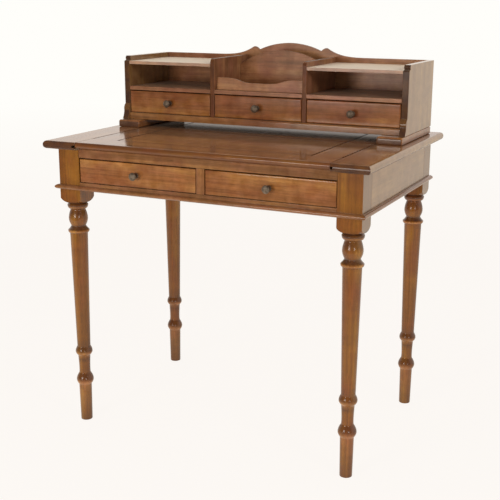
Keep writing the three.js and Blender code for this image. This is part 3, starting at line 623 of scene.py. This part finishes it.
def dress(node, grain):
    """A board of the model with rolled curves, eased arrises and its finish."""
    work = clean_copy(node)
    roll_flats(work)
    finish = SPECIAL_FINISH.get(node, SLOT_OF[node])
    if node.startswith("slab_"):
        ease_slab(work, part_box(node)[1].z)
        return hand_over(work, node, WOOD[finish, grain], face_glaze_and_shade=slab_glaze_and_shade, worn=slab_wear)
    if node.startswith("gallery_foot"):
        ease_foot(work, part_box(node))
    ease_arrises(work, BOARD_ARRIS)
    if node.startswith("gallery_drawer") and finish == "stained_drawer":
        finish = "stained_small"
    if node.startswith("divider"):
        return hand_over(work, node, WOOD[finish, grain], face_glaze_and_shade=divider_glaze, worn=divider_glaze)
    return hand_over(work, node, WOOD[finish, grain])


print("boards with a finish of their own:", len(SPECIAL_FINISH))

# %% [markdown]
# The straight boards only differ in which way their grain runs: along the
# rails, up the stile and dividers, front to back in the aprons and drawer
# sides. One table says so, and one loop dresses them all.

# %% The boards
ALONG_X = ["back_apron", "top_rail", "bottom_rail", "moulding_front", "base_board", "middle_shelf",
           "top_shelf_left", "top_shelf_right", "back_board", "letter_rack_board", "rack_fence",
           "slab_front_rail", "slab_rear_rail", "slab_panel"]
ALONG_Y = ["side_apron_left", "side_apron_right", "moulding_left", "moulding_right",
           "drawer_runner_left", "drawer_runner_centre", "drawer_runner_right",
           "gallery_foot_left", "gallery_foot_right", "slab_stile_left", "slab_stile_right"]
ALONG_Z = ["centre_stile", "divider_left", "divider_right"]
for side in ("left", "right"):
    drawer = f"case_drawer_{side}"
    ALONG_X += [f"{drawer}_front", f"{drawer}_back", f"{drawer}_bottom"]
    ALONG_Y += [f"{drawer}_side_left", f"{drawer}_side_right"]
for bay in ("left", "middle", "right"):
    drawer = f"gallery_drawer_{bay}"
    ALONG_X += [f"{drawer}_front", f"{drawer}_bottom"]
    ALONG_Y += [f"{drawer}_tray"]
for grain, names in (("x", ALONG_X), ("y", ALONG_Y), ("z", ALONG_Z)):
    for name in names:
        dress(name, grain)
print("boards dressed:", len(ALONG_X) + len(ALONG_Y) + len(ALONG_Z))

# %% [markdown]
# The end boards are moulded with a bullnose on three sides, and where the
# front nose meets the side nose the cutter leaves a crisp mitre. Each board
# is drawn up from its underside in thin layers: every layer is a little wider
# until the middle, then narrower again, with the slab's groove stepped in on
# the inner edge.

# %% Layers of an end board
NOSE_FLAT = 2 * MM
NOSE_STEPS = 9
GROOVE_HEIGHT = 5.6 * MM
GROOVE_DEPTH = 6.3 * MM


def nose_levels(low, high):
    """Height, setback of the nose and depth of the groove, from the underside up."""
    nose = (high - low - NOSE_FLAT) / 2
    middle = (low + high) / 2
    lower = [(low + nose * (1 - math.cos(a)), nose * (1 - math.sin(a)))
             for a in (math.pi / 2 * i / NOSE_STEPS for i in range(NOSE_STEPS + 1))]
    whole = lower + [(2 * middle - z, setback) for z, setback in reversed(lower)]
    offset = (GROOVE_HEIGHT - NOSE_FLAT) / 2
    setback = nose - math.sqrt(nose ** 2 - offset ** 2)
    levels = []
    for bottom, top, depth in ((low, middle - GROOVE_HEIGHT / 2, 0.0),
                               (middle - GROOVE_HEIGHT / 2, middle + GROOVE_HEIGHT / 2, GROOVE_DEPTH),
                               (middle + GROOVE_HEIGHT / 2, high, 0.0)):
        inside = [(z, s, depth) for z, s in whole if bottom < z < top]
        first = (bottom, nose if bottom == low else setback, depth)
        last = (top, nose if top == high else setback, depth)
        levels += [first] + inside + [last]
    return levels


board_low, board_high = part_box("end_board_left")
print("layers of an end board:", len(nose_levels(board_low.z, board_high.z)))

# %% [markdown]
# End grain shows on the front and rear noses. It takes the stain darkest and
# polishes to a duller shine, so those faces get glaze and lose some lacquer.
# The long side nose takes the pale, cloudy side finish of the apron below it
# as a second material; its paleness is partly painted light.

# %% End boards
END_ARRIS = 0.5 * MM
INNER_EDGE = 2 * MM
END_GRAIN_DEPTH = 8 * MM
END_GRAIN_GLAZE = 0.75
END_GRAIN_DULL = 0.5
END_FACES = 0.3
SIDE_FACES = 0.35
LEVEL_SHARE = 0.1
SMOOTH_ANGLE = math.radians(4)


def stack_layers(inner, outer, low, high, side):
    """A solid drawn up layer by layer, from an inner edge out to its noses."""

    def place(beyond, forward, level):
        z, setback, groove = level
        return (outer - side * setback if beyond else inner + side * groove,
                low.y + setback if forward else high.y - setback, z)

    levels = nose_levels(low.z, high.z)
    work = bmesh.new()
    corners = ((False, True), (True, True), (True, False), (False, False))
    first = [work.verts.new(place(*corner, levels[0])) for corner in corners]
    top = bmesh.ops.contextual_create(work, geom=first)["faces"][0]
    for level in levels[1:]:
        raised = bmesh.ops.extrude_face_region(work, geom=[top])["geom"]
        top = next(item for item in raised if isinstance(item, bmesh.types.BMFace))
        for vert in top.verts:
            vert.co = place(abs(vert.co.x - inner) > NOSE_FLAT + GROOVE_DEPTH, vert.co.y < 0, level)
    bmesh.ops.recalc_face_normals(work, faces=work.faces)
    return work


def keep_mitres(work):
    """Leaves the mitres and arrises crisp, and the long runs of the nose smooth."""
    for edge in work.edges:
        run = edge.verts[1].co - edge.verts[0].co
        slack = LEVEL_SHARE * run.length
        level = abs(run.z) < slack and min(abs(run.x), abs(run.y)) < slack
        edge.smooth = level or edge.calc_face_angle(0) < SMOOTH_ANGLE


def end_board(node, side):
    """An end board with its noses, its groove and its open joint beside the slab."""
    low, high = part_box(node)
    inner, outer = (low.x, high.x) if side > 0 else (high.x, low.x)
    work = stack_layers(inner, outer, low, high, side)
    ease_arrises(work, JOINT_WIDTH, chosen=long_joints(work, high.z, *END_JOINT))
    ease_arrises(work, END_ARRIS)
    keep_mitres(work)

    def at_joint(face):
        return abs(face.calc_center_median().x - inner) < INNER_EDGE

    def end_grain(face):
        if at_joint(face):
            return joint_line(face)
        at_end = abs(face.calc_center_median().y) > high.y - END_GRAIN_DEPTH
        return END_GRAIN_GLAZE if at_end and abs(face.normal.y) > END_FACES else 0.0

    def dull_grain(face):
        return end_grain(face) * (1.0 if at_joint(face) else END_GRAIN_DULL)

    board = hand_over(work, node, WOOD["stained_top", "y"], face_glaze_and_shade=end_grain, worn=dull_grain)
    # The outward side nose takes the side finish, partly painted light.
    board.data.materials.append(WOOD["stained_side_painted_light", "y"])
    for face in board.data.polygons:
        face.material_index = int(side * face.normal.x > SIDE_FACES)
    return board


for name, side in (("end_board_left", -1), ("end_board_right", 1)):
    print(name, "faces:", len(end_board(name, side).data.polygons))

# %% [markdown]
# The gallery's sides have the only shaped edge of the carcass: a small roll at
# the top corner with a step below it and, lower down, a ledge from which the
# edge sweeps forward to the foot. It is sawn and rasped to a line, so the
# outline is drawn once, in arcs and sweeps.

# %% Outline of a gallery side
FLARE = 16 * MM
FLARE_TOP = 24 * MM
LEDGE_TOP = 41 * MM
LEDGE_DEPTH = 8 * MM
LEDGE_TURN = 0.62 * math.pi
LEDGE_FULLNESS = 0.6
CURL_RADIUS = 6 * MM
CURL_SETBACK = 7 * MM
CURL_TURN = math.radians(140)
CURL_STEPS = 10
STEP_DROP = 13 * MM
STEP_RADIUS = 3 * MM
STEP_STEPS = 6
SWEEP_STEPS = 12
SIDE_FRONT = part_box("divider_left")[0].y


def side_outline(low, high):
    """Depth and height of the points round a gallery side, from the rear foot up."""
    points = [(high.y, low.z), (high.y, high.z)]
    curl = SIDE_FRONT + CURL_SETBACK + CURL_RADIUS
    for i in range(CURL_STEPS + 1):
        angle = CURL_TURN * i / CURL_STEPS
        points.append((curl - CURL_RADIUS * math.sin(angle),
                       high.z - CURL_RADIUS * (1 - math.cos(angle))))
    for i in range(STEP_STEPS + 1):
        angle = math.pi / 2 * i / STEP_STEPS
        points.append((SIDE_FRONT + STEP_RADIUS * (1 - math.sin(angle)),
                       high.z - STEP_DROP - STEP_RADIUS * (1 - math.cos(angle))))
    for i in range(SWEEP_STEPS + 1):
        t = i / SWEEP_STEPS
        points.append((SIDE_FRONT - LEDGE_DEPTH * math.sin(LEDGE_TURN * t) ** LEDGE_FULLNESS,
                       low.z + LEDGE_TOP + (FLARE_TOP - LEDGE_TOP) * t))
    ledge_end = LEDGE_DEPTH * math.sin(LEDGE_TURN) ** LEDGE_FULLNESS
    for i in range(1, SWEEP_STEPS + 1):
        t = i / SWEEP_STEPS
        points.append((SIDE_FRONT - ledge_end - (FLARE - ledge_end) * (1 - math.cos(math.pi / 2 * t)),
                       low.z + FLARE_TOP * (1 - t)))
    return points


# %% [markdown]
# The outline is closed into one face, drawn out to the board's thickness and
# eased. The shaped front edge holds more glaze than the broad face and has
# less polish. The nose of its ledge has less glaze: a painted highlight where
# it faces up into the light.

# %% Gallery sides
SIDE_ARRIS = 1.2 * MM
SIDE_ARRIS_STEPS = 3
SIDE_EDGE_TURN = -0.3
SIDE_EDGE_SHARE = 0.9
# Less glaze on the ledge's nose leaves a painted highlight there.
LEDGE_HIGHLIGHT_GLAZE = 0.3


def gallery_side(node):
    """One side of the gallery, with glaze along its shaped edge."""
    low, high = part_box(node)
    work = bmesh.new()
    ring = [work.verts.new((low.x, y, z)) for y, z in side_outline(low, high)]
    edges = [work.edges.new(pair) for pair in zip(ring, ring[1:] + ring[:1])]
    face = bmesh.ops.contextual_create(work, geom=edges)["faces"]
    raised = bmesh.ops.extrude_face_region(work, geom=face)["geom"]
    moved = [item for item in raised if isinstance(item, bmesh.types.BMVert)]
    bmesh.ops.translate(work, verts=moved, vec=(high.x - low.x, 0, 0))
    bmesh.ops.recalc_face_normals(work, faces=work.faces)
    ease_arrises(work, SIDE_ARRIS, SIDE_ARRIS_STEPS)

    def front_edge(face):
        middle = face.calc_center_median()
        if face.normal.y >= SIDE_EDGE_TURN or middle.y >= SIDE_FRONT + CURL_SETBACK + CURL_RADIUS:
            return 0.0
        on_ledge = FLARE_TOP < middle.z - low.z < LEDGE_TOP + STEP_RADIUS
        return LEDGE_HIGHLIGHT_GLAZE if on_ledge else SIDE_EDGE_SHARE

    # The side finish is partly painted light.
    return hand_over(work, node, WOOD["stained_side_painted_light", "z"], face_glaze_and_shade=front_edge, worn=front_edge)


for name in ("gallery_side_left", "gallery_side_right"):
    print(name, "faces:", len(gallery_side(name).data.polygons))

# %% [markdown]
# A leg is one stick: a square post above, a turning below. On the lathe the
# tool rolls each bead and hollow in one sweep, so the leg's profile is built
# from three sweeps: a bead between two necks, a lip with a hollow above it,
# and a gentle curve through three points. Each point is a radius and a height.

# %% Sweeps of the lathe
RIM_BELOW = 0.8 * MM
RIM_ABOVE = 0.4 * MM
RIM_SETBACK = 0.5 * MM
SLOPE_START = 1.2 * MM
SLOPE_SAG = 0.12
BEAD_STEPS = 14
SWEEP_POINTS = 8


def bead(low, high, radius, peak_share):
    """A swelling between two necks, widest at a share of its height."""
    points = []
    for i in range(BEAD_STEPS + 1):
        t = i / BEAD_STEPS
        rise = t / peak_share if t < peak_share else (1 - t) / (1 - peak_share)
        neck = low[0] + (high[0] - low[0]) * t
        neck_at_peak = low[0] + (high[0] - low[0]) * peak_share
        reach = (radius - neck_at_peak) * math.sin(rise * math.pi / 2)
        points.append((neck + reach, low[1] + (high[1] - low[1]) * t))
    return points


def lip(low, rim, high):
    """A rounded lip up to a rim, and a hollow slope above it."""
    points = []
    for i in range(SWEEP_POINTS + 1):
        angle = math.pi / 2 * i / SWEEP_POINTS
        points.append((low[0] + (rim[0] - low[0]) * math.sin(angle),
                       low[1] + (rim[1] - RIM_BELOW - low[1]) * (1 - math.cos(angle))))
    points.append((rim[0], rim[1] + RIM_ABOVE))
    for i in range(1, SWEEP_POINTS + 1):
        t = i / SWEEP_POINTS
        sag = SLOPE_SAG * math.sin(math.pi * t)
        points.append((rim[0] - RIM_SETBACK + (high[0] - rim[0] + RIM_SETBACK) * (t + sag),
                       rim[1] + SLOPE_START + (high[1] - rim[1] - SLOPE_START) * t))
    return points


def curve_between(low, middle, high):
    """A gentle sweep through three points, without its two ends."""
    points = []
    pull = [2 * m - (a + b) / 2 for a, m, b in zip(low, middle, high)]
    for i in range(1, SWEEP_POINTS):
        t = i / SWEEP_POINTS
        points.append(tuple(
            (1 - t) ** 2 * a + 2 * t * (1 - t) * c + t ** 2 * b for a, c, b in zip(low, pull, high)))
    return points


print("a sweep has", SWEEP_POINTS, "points, a bead", BEAD_STEPS + 1)

# %% [markdown]
# From the floor up the leg has a tapered foot, a bead like a knee, a slim
# waist, a second bead, the long shaft, a collar, a ball and an upper collar.
# Then the profile flares out past the corners of the post, because the square
# blank is what stops it there.

# %% Leg profile
POST = 60 * MM
BLOCK_DROP = 36 * MM
BLOCK_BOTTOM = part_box("moulding_front")[0].z - BLOCK_DROP
POST_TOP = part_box("side_apron_left")[1].z
SHOULDER_NECK = 22.5 * MM
SHOULDER_RADIUS = 24.5 * MM
SHOULDER_HEIGHT = 14 * MM
SHOULDER_ARC = math.pi / 3
SHOULDER_STEPS = 12
SHAFT_STEPS = 12
COLLAR_HEIGHT = 18 * MM
BALL_HEIGHT = 44 * MM
LOWER_COLLAR_HEIGHT = 23 * MM
NECK_RADIUS = 18.6 * MM
SHAFT_END_RADIUS = 22.6 * MM
SHAFT_RADIUS = 22.8 * MM
SHAFT_LIP = 4 * MM
LIP_START = 4.5 * MM
LOWER_RIM = 27.3 * MM
UPPER_RIM = 26.3 * MM
RIM_RISE = 11 * MM
CLEAR_OF_CORNER = 1 * MM
KNEE_BEAD = (22.5 * MM, 0.44)
RING_BEAD = (22.2 * MM, 0.42)
BALL_BEAD = (24.3 * MM, 0.42)
FOOT = [(0, 0), (13.6 * MM, 0), (14.8 * MM, 0.5 * MM), (15.2 * MM, 1.8 * MM)]
FOOT_TOP = (16.6 * MM, 101 * MM)
KNEE_TOP = (15 * MM, 134 * MM)
WAIST = (14.5 * MM, 151.6 * MM)
NECK_TOP = (16 * MM, 183 * MM)
RING_TOP = (17.2 * MM, 209 * MM)


def leg_profile():
    """Radius and height from the middle of the foot out to beyond the post's corners."""
    collar_bottom = BLOCK_BOTTOM - COLLAR_HEIGHT
    ball_bottom = collar_bottom - BALL_HEIGHT
    shaft_top = ball_bottom - LOWER_COLLAR_HEIGHT
    shaft_end = (SHAFT_END_RADIUS, shaft_top)
    profile = FOOT + bead(FOOT_TOP, KNEE_TOP, *KNEE_BEAD)
    profile += curve_between(KNEE_TOP, WAIST, NECK_TOP)
    profile += bead(NECK_TOP, RING_TOP, *RING_BEAD)
    profile += [tuple(a + (b - a) * i / SHAFT_STEPS for a, b in zip(RING_TOP, shaft_end))
                for i in range(1, SHAFT_STEPS)]
    profile += [shaft_end, (SHAFT_RADIUS, shaft_top + SHAFT_LIP)]
    profile += lip((SHAFT_RADIUS, shaft_top + LIP_START), (LOWER_RIM, shaft_top + RIM_RISE),
                   (NECK_RADIUS, ball_bottom))
    profile += bead((NECK_RADIUS, ball_bottom), (NECK_RADIUS, collar_bottom), *BALL_BEAD)[1:]
    profile += lip((NECK_RADIUS, collar_bottom), (UPPER_RIM, collar_bottom + RIM_RISE),
                   (SHOULDER_NECK, BLOCK_BOTTOM))[1:]
    corner = POST / 2 * math.sqrt(2) + CLEAR_OF_CORNER
    for i in range(1, SHOULDER_STEPS + 1):
        angle = SHOULDER_ARC * i / SHOULDER_STEPS
        out = SHOULDER_RADIUS + (corner - SHOULDER_RADIUS) * math.sin(angle) / math.sin(SHOULDER_ARC)
        up = SHOULDER_HEIGHT * (1 - math.cos(angle)) / (1 - math.cos(SHOULDER_ARC))
        profile.append((out, BLOCK_BOTTOM + up))
    return profile


PROFILE = leg_profile()
print("leg profile points:", len(PROFILE))

# %% [markdown]
# Glaze stays in the narrow places of the turning: where the neck meets the
# ball, under the block, beside each ring. With it goes painted shade on the
# upper halves of the beads and the ball, the foot is darker at its lowest
# edge, and a painted highlight lightens the lower lip of each ring. Both are
# told by height alone, in millimetres: a shaded place runs between two
# heights and fades out at its ends, and a lit lip fades from its middle over
# its reach.

# %% Glaze on the turnings
# Rows: lowest and highest height, most share, fade; glaze in the necks, painted shade on the upper halves
# of beads and ball.
SHADED = [(-4, 6, 0.5, 5), (115, 136, 0.55, 4), (84, 101, 0.5, 6), (194, 212, 0.55, 4), (164, 183, 0.5, 8),
          (527.5, 541, 0.8, 1.5), (556, 590, 0.6, 16), (588, 596, 0.75, 2), (594, 603, 0.9, 2)]
# Rows: height, reach, most share; painted highlights on the lower lips.
LIT_LIPS = [(106.5, 8.0, 0.9), (188.5, 7.0, 0.9), (524, 3.5, 0.8), (587, 2.5, 0.3)]
LIT_LIP_SLOPE = 1.6


def leg_glaze_and_shade(point):
    """How much glaze and painted shade lie at a height of the turning, from 0 to 1."""
    z = point.z / MM
    if point.z > BLOCK_BOTTOM + SHOULDER_HEIGHT:
        return 0.0
    depth = 0.0
    for low, high, most, fade in SHADED:
        inside = min((z - low) / fade, (high - z) / fade, 1.0)
        depth = max(depth, most * max(0.0, inside))
    return depth


def leg_highlight(point):
    """How strongly a painted highlight lightens a lip of the turning, from 0 to 1."""
    return max(most * max(0.0, min(1.0, LIT_LIP_SLOPE * (1 - abs(point.z / MM - z) / reach)))
               for z, reach, most in LIT_LIPS)


print("shaded places:", len(SHADED), "rubbed lips:", len(LIT_LIPS))

# %% [markdown]
# The profile is spun round, cut square on four sides like the blank, and its
# edge is drawn up to the top of the post. The faces of the post are merged
# before the arrises are eased, so that the bevel runs cleanly. The post's
# outer side takes the same finish as the apron beside it, which is partly
# painted light for the light the sides catch.

# %% Turning the legs
TURN_STEPS = 64
TURN_MERGE = 0.01 * MM
POST_FACE_ANGLE = math.radians(0.1)
POST_ARRIS = 0.9 * MM
ARRIS_START = 0.5 * MM
OUTER_SIDE = 0.7
BLANK_SIDES = ((1, 0, 0), (-1, 0, 0), (0, 1, 0), (0, -1, 0))


def spin_profile(profile, steps):
    """A closed turning made by spinning a profile of radii and heights round Z."""
    work = bmesh.new()
    points = [work.verts.new((r, 0, z)) for r, z in profile]
    edges = [work.edges.new(pair) for pair in zip(points, points[1:])]
    bmesh.ops.spin(work, geom=points + edges, cent=(0, 0, 0), axis=(0, 0, 1),
                   angle=math.tau, steps=steps, use_merge=True)
    bmesh.ops.remove_doubles(work, verts=work.verts, dist=TURN_MERGE)
    return work


def square_post(work):
    """Cuts the top of a turning square and draws it up into the post."""
    for normal in BLANK_SIDES:
        bmesh.ops.bisect_plane(
            work, geom=work.verts[:] + work.edges[:] + work.faces[:], dist=MERGE,
            plane_co=Vector(normal) * POST / 2, plane_no=normal, clear_outer=True)
    rim = [e for e in work.edges if e.is_boundary]
    raised = bmesh.ops.extrude_edge_only(work, edges=rim)["geom"]
    for item in raised:
        if isinstance(item, bmesh.types.BMVert):
            item.co.z = POST_TOP
    bmesh.ops.contextual_create(
        work, geom=[e for e in raised if isinstance(e, bmesh.types.BMEdge) and e.is_boundary])
    bmesh.ops.recalc_face_normals(work, faces=work.faces)
    bmesh.ops.dissolve_limit(work, angle_limit=POST_FACE_ANGLE, use_dissolve_boundaries=False,
                             verts=[v for v in work.verts if v.co.z > BLOCK_BOTTOM + LEVEL],
                             edges=[e for e in work.edges if min(v.co.z for v in e.verts) > BLOCK_BOTTOM])


def turn_leg(node, centre_x, centre_y):
    """A whole leg, post and turning in one stick, at its place under the case."""
    work = spin_profile(PROFILE, TURN_STEPS)
    square_post(work)
    square = [e for e in work.edges if e.calc_face_angle(0) > ARRIS_ANGLE
              and max(v.co.z for v in e.verts) > BLOCK_BOTTOM + ARRIS_START]
    ease_arrises(work, POST_ARRIS, chosen=square)
    bmesh.ops.translate(work, verts=work.verts, vec=(centre_x, centre_y, 0))
    leg = hand_over(work, node, WOOD["stained_leg", "z"], leg_glaze_and_shade, leg_highlight)
    # The outer side takes the side finish, partly painted light.
    leg.data.materials.append(WOOD["stained_side_painted_light", "z"])
    outward = math.copysign(1, centre_x)
    for face in leg.data.polygons:
        face.material_index = int(outward * face.normal.x > OUTER_SIDE and face.center.z > BLOCK_BOTTOM)
    return leg


for side in ("left", "right"):
    for end in ("front", "back"):
        low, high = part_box(f"leg_{end}_{side}")
        leg = turn_leg(f"leg_{end}_{side}", (low.x + high.x) / 2, (low.y + high.y) / 2)
        print(leg.name, "faces:", len(leg.data.polygons))

# %% [markdown]
# The knobs are small castings with a round head on a waisted stem. Each is a
# profile spun round the way the drawer pulls, finer than the model's, with a
# hollow value under the head where polish never reaches.

# %% Knob profile
KNOB_RADIUS = 10 * MM
KNOB_LENGTH = 21 * MM
HEAD_THICKNESS = 9 * MM
HEAD_STEPS = 20
HEAD_ARC = math.tau / 3
HEAD_START_SHARE = 0.25
COLLAR = (7 * MM, 0.8 * MM)
STEM = (5.2 * MM, 4.5 * MM)
STEM_END = (5.8 * MM, 11.2 * MM)


def knob_profile():
    """Radius and height of a knob that stands on its collar."""
    profile = [(0, 0), (COLLAR[0], 0), COLLAR] + curve_between(COLLAR, STEM, STEM_END)
    neck = KNOB_LENGTH - HEAD_THICKNESS
    for i in range(HEAD_STEPS):
        angle = (i / HEAD_STEPS - HEAD_START_SHARE) * HEAD_ARC
        profile.append((KNOB_RADIUS * math.cos(angle), neck + HEAD_THICKNESS * (1 + math.sin(angle)) / 2))
    return profile + [(0, KNOB_LENGTH)]


print("knob profile points:", len(knob_profile()))

# %% [markdown]
# The profile stands up on the lathe, so each turned knob is laid over to point
# forward and moved to the middle of its drawer front.

# %% Turning the knobs
KNOB_STEPS = 40
NECK_SHARE = 0.6
NECK_GLAZE = 0.8


def turn_knob(node):
    """A knob at its place on a drawer front, dark round the neck."""
    low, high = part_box(node)
    centre = ((low.x + high.x) / 2, high.y, (low.z + high.z) / 2)
    work = spin_profile(knob_profile(), KNOB_STEPS)
    bmesh.ops.rotate(work, verts=work.verts, matrix=Matrix.Rotation(math.pi / 2, 3, "X"))
    bmesh.ops.translate(work, verts=work.verts, vec=centre)
    neck = NECK_SHARE * (KNOB_LENGTH - HEAD_THICKNESS)

    def under_head(point):
        return NECK_GLAZE * max(0.0, 1 - abs(high.y - point.y - neck) / neck)

    return hand_over(work, node, PEWTER, under_head)


KNOBS = [name for name in NODES if name.endswith("_knob")]
for name in KNOBS:
    turn_knob(name)
print("knobs turned:", len(KNOBS))

# %% [markdown]
# The desk stands on a pale studio floor that runs on into a white backdrop.
# The floor is nearly its own light to the camera, and the rest of it is plain
# paint, so it stays white and still takes the desk's soft shadow. In the
# lacquer it mirrors as a warm white, dimmer in front of the desk.

# %% Floor
BACKDROP = "fffefa"
FLOOR_SIZE = 60.0
FLOOR_CELLS = 8
PAINT_SIZE = (0.8, 0.8, 0.8)
NEAR, FAR = 2.0, 8.0
SEEN_NEAR = 0.93
DIM_FROM, DIM_TO = -2.0, -1.2
MIRROR_FRONT, MIRROR_BACK = 0.3, 0.95
# The floor also glows onto the desk from below, lighting the undersides and the lower halves of the
# turnings.
LIT_SHARE = 0.65
PAINT_ROUGH = 0.9


def floor_paint():
    """Pale paint that glows towards the camera, in reflections and onto the desk, and takes shadow."""
    material = bpy.data.materials.new("pale_floor")
    material.use_nodes = True
    tree = material.node_tree
    shader = tree.nodes["Principled BSDF"]
    place = put(tree, "TexCoord").outputs["Object"]
    patches = spread(tree, noise(tree, place, PAINT_SIZE, 2.0), 0.3, 0.7)
    tree.links.new(tint(tree, patches, stain("e9e5df"), stain("ece9e4")), shader.inputs["Base Color"])
    shader.inputs["Roughness"].default_value = PAINT_ROUGH
    path = put(tree, "LightPath").outputs
    spot = put(tree, "VectorMath", {0: place}, operation="LENGTH").outputs["Value"]
    seen = number(tree, "MULTIPLY", path["Is Camera Ray"], spread(tree, spot, NEAR, FAR, SEEN_NEAR, 1.0))
    depth = put(tree, "SeparateXYZ", {0: place}).outputs["Y"]
    mirrored = spread(tree, depth, DIM_FROM, DIM_TO, MIRROR_FRONT, MIRROR_BACK)
    missing = number(tree, "MULTIPLY", number(tree, "SUBTRACT", 1.0, mirrored), path["Is Glossy Ray"])
    strength = number(tree, "SUBTRACT", 1.0, missing)
    lit = number(tree, "MULTIPLY", path["Is Diffuse Ray"], LIT_SHARE)
    share = number(tree, "MAXIMUM", number(tree, "MAXIMUM", seen, path["Is Glossy Ray"]), lit)
    lightness = tint(tree, spread(tree, spot, NEAR, FAR), stain("fffbf7"), stain(BACKDROP))
    lightness = tint(tree, path["Is Glossy Ray"], lightness, stain("fff6e8"))
    glow = put(tree, "Emission", {"Color": lightness, "Strength": strength})
    both = put(tree, "MixShader", {0: share, 1: shader.outputs[0], 2: glow.outputs[0]})
    tree.links.new(both.outputs[0], tree.nodes["Material Output"].inputs["Surface"])
    return material


def pale_floor():
    """The studio floor, far wider than the camera sees."""
    work = bmesh.new()
    bmesh.ops.create_grid(work, x_segments=FLOOR_CELLS, y_segments=FLOOR_CELLS, size=FLOOR_SIZE)
    mesh = bpy.data.meshes.new("floor")
    work.to_mesh(mesh)
    work.free()
    mesh.materials.append(floor_paint())
    floor = bpy.data.objects.new("floor", mesh)
    bpy.context.scene.collection.objects.link(floor)
    return floor


print("floor faces:", len(pale_floor().data.polygons))

# %% [markdown]
# The room is white at the height of the desk, and reflections show it darker
# overhead and behind the camera, as a studio is: that is why the tops wash
# out at a low angle while the upper half of each ring on the legs stays dark.
# What lights the desk softly from all sides is a plainer, dimmer room.

# %% Studio room
OVERHEAD = (0.35, 0.75)
BEHIND_CAMERA = (0.1, -0.5)
MIRROR_WALLS = (1.1, 1.01, 0.93, 1)
MIRROR_DARK = (0.14, 0.13, 0.12, 1)
SOFT_WALLS = (0.33, 0.32, 0.305, 1)
SOFT_CEILING = (0.74, 0.73, 0.71, 1)


def studio_world():
    """White to the camera, one room for reflections and another for soft light."""
    world = bpy.data.worlds.new("studio")
    bpy.context.scene.world = world
    world.use_nodes = True
    tree = world.node_tree
    sky = tree.nodes["Background"]
    direction = put(tree, "TexCoord").outputs["Generated"]
    heading = put(tree, "SeparateXYZ", {0: direction}).outputs
    overhead = spread(tree, heading["Z"], *OVERHEAD)
    in_front = spread(tree, heading["Y"], *BEHIND_CAMERA)
    path = put(tree, "LightPath").outputs
    gloss = tint(tree, number(tree, "MAXIMUM", overhead, in_front), MIRROR_WALLS, MIRROR_DARK)
    room = tint(tree, overhead, SOFT_WALLS, SOFT_CEILING)
    mirrored = number(tree, "MAXIMUM", path["Is Glossy Ray"], path["Is Transmission Ray"])
    colour = tint(tree, mirrored, room, gloss)
    colour = tint(tree, path["Is Camera Ray"], colour, stain(BACKDROP))
    tree.links.new(colour, sky.inputs["Color"])
    sky.inputs["Strength"].default_value = 1.0
    return world


print("room:", studio_world().name)

# %% [markdown]
# Two soft boxes in front leave the pair of small highlights on every turning,
# and a long, dim one sits low enough for the lacquer of the gallery drawers to
# catch it along their top edges. These three only show in reflections. The
# fills light the wood and show in no reflection, so that each can be set by
# itself. A row gives the place, the power in watts, the width and the height.

# %% Studio lamps
LAMP_TINT = (1.0, 0.96, 0.9)
AIM = Vector((0, 0, 0.55))
STRIPS = {"strip_left": ((-0.75, -3.1, 0.9), 17, 0.95, 0.7),
          "strip_right": ((3.2, -3.8, 1.0), 18, 0.95, 0.7),
          "strip_low": ((-0.95, -3.1, 0.53), 0.4, 1.2, 0.08)}
FILLS = {"fill_left": ((-0.75, -3.1, 0.95), 40, 0.7, 0.7),
         "fill_middle": ((3.0, -3.6, 0.9), 11, 0.7, 0.7),
         "fill_right": ((2.8, -1.6, 2.0), 23, 0.7, 0.7)}


def soft_lamp(name, place, power, width, height):
    """A soft box that stands at a place and faces the desk."""
    data = bpy.data.lights.new(name, "AREA")
    data.shape = "RECTANGLE"
    data.size = width
    data.size_y = height
    data.energy = power
    data.color = LAMP_TINT
    lamp = bpy.data.objects.new(name, data)
    bpy.context.scene.collection.objects.link(lamp)
    lamp.location = place
    lamp.rotation_euler = (AIM - lamp.location).to_track_quat("-Z", "Y").to_euler()
    return lamp


for name, setting in STRIPS.items():
    soft_lamp(name, *setting).visible_diffuse = False
for name, setting in FILLS.items():
    soft_lamp(name, *setting).visible_glossy = False
print("lamps:", len(STRIPS) + len(FILLS))

# %% [markdown]
# The camera stands a little right of the desk and looks slightly down. Its
# place and angles were worked out from the corners of the desk in the
# photograph, with the frame taken as 500 by 500.

# %% Camera
SENSOR_WIDTH = 36.0
LENS = 69.25
CAMERA_PLACE = (1.0623, -2.2255, 1.1078)
YAW, PITCH, ROLL = (math.radians(a) for a in (25.488, 14.783, 0.196))


def photograph_camera():
    """The camera at the photograph's viewing angle."""
    data = bpy.data.cameras.new("camera")
    data.sensor_fit = "HORIZONTAL"
    data.sensor_width = SENSOR_WIDTH
    data.lens = LENS
    camera = bpy.data.objects.new("camera", data)
    bpy.context.scene.collection.objects.link(camera)
    right = Vector((math.cos(YAW), math.sin(YAW), 0))
    ahead = Vector((-math.sin(YAW) * math.cos(PITCH), math.cos(YAW) * math.cos(PITCH), -math.sin(PITCH)))
    up = right.cross(ahead)
    tilted_right = right * math.cos(ROLL) + up * math.sin(ROLL)
    tilted_up = up * math.cos(ROLL) - right * math.sin(ROLL)
    turn = Matrix((tilted_right, tilted_up, -ahead)).transposed().to_4x4()
    camera.matrix_world = Matrix.Translation(CAMERA_PLACE) @ turn
    return camera


bpy.context.scene.camera = photograph_camera()
bpy.context.scene.view_settings.view_transform = "Standard"
print("lens:", LENS, "mm")

# %% [markdown]
# The last cell brings the scene up to date.

# %% Last update
bpy.context.view_layer.update()
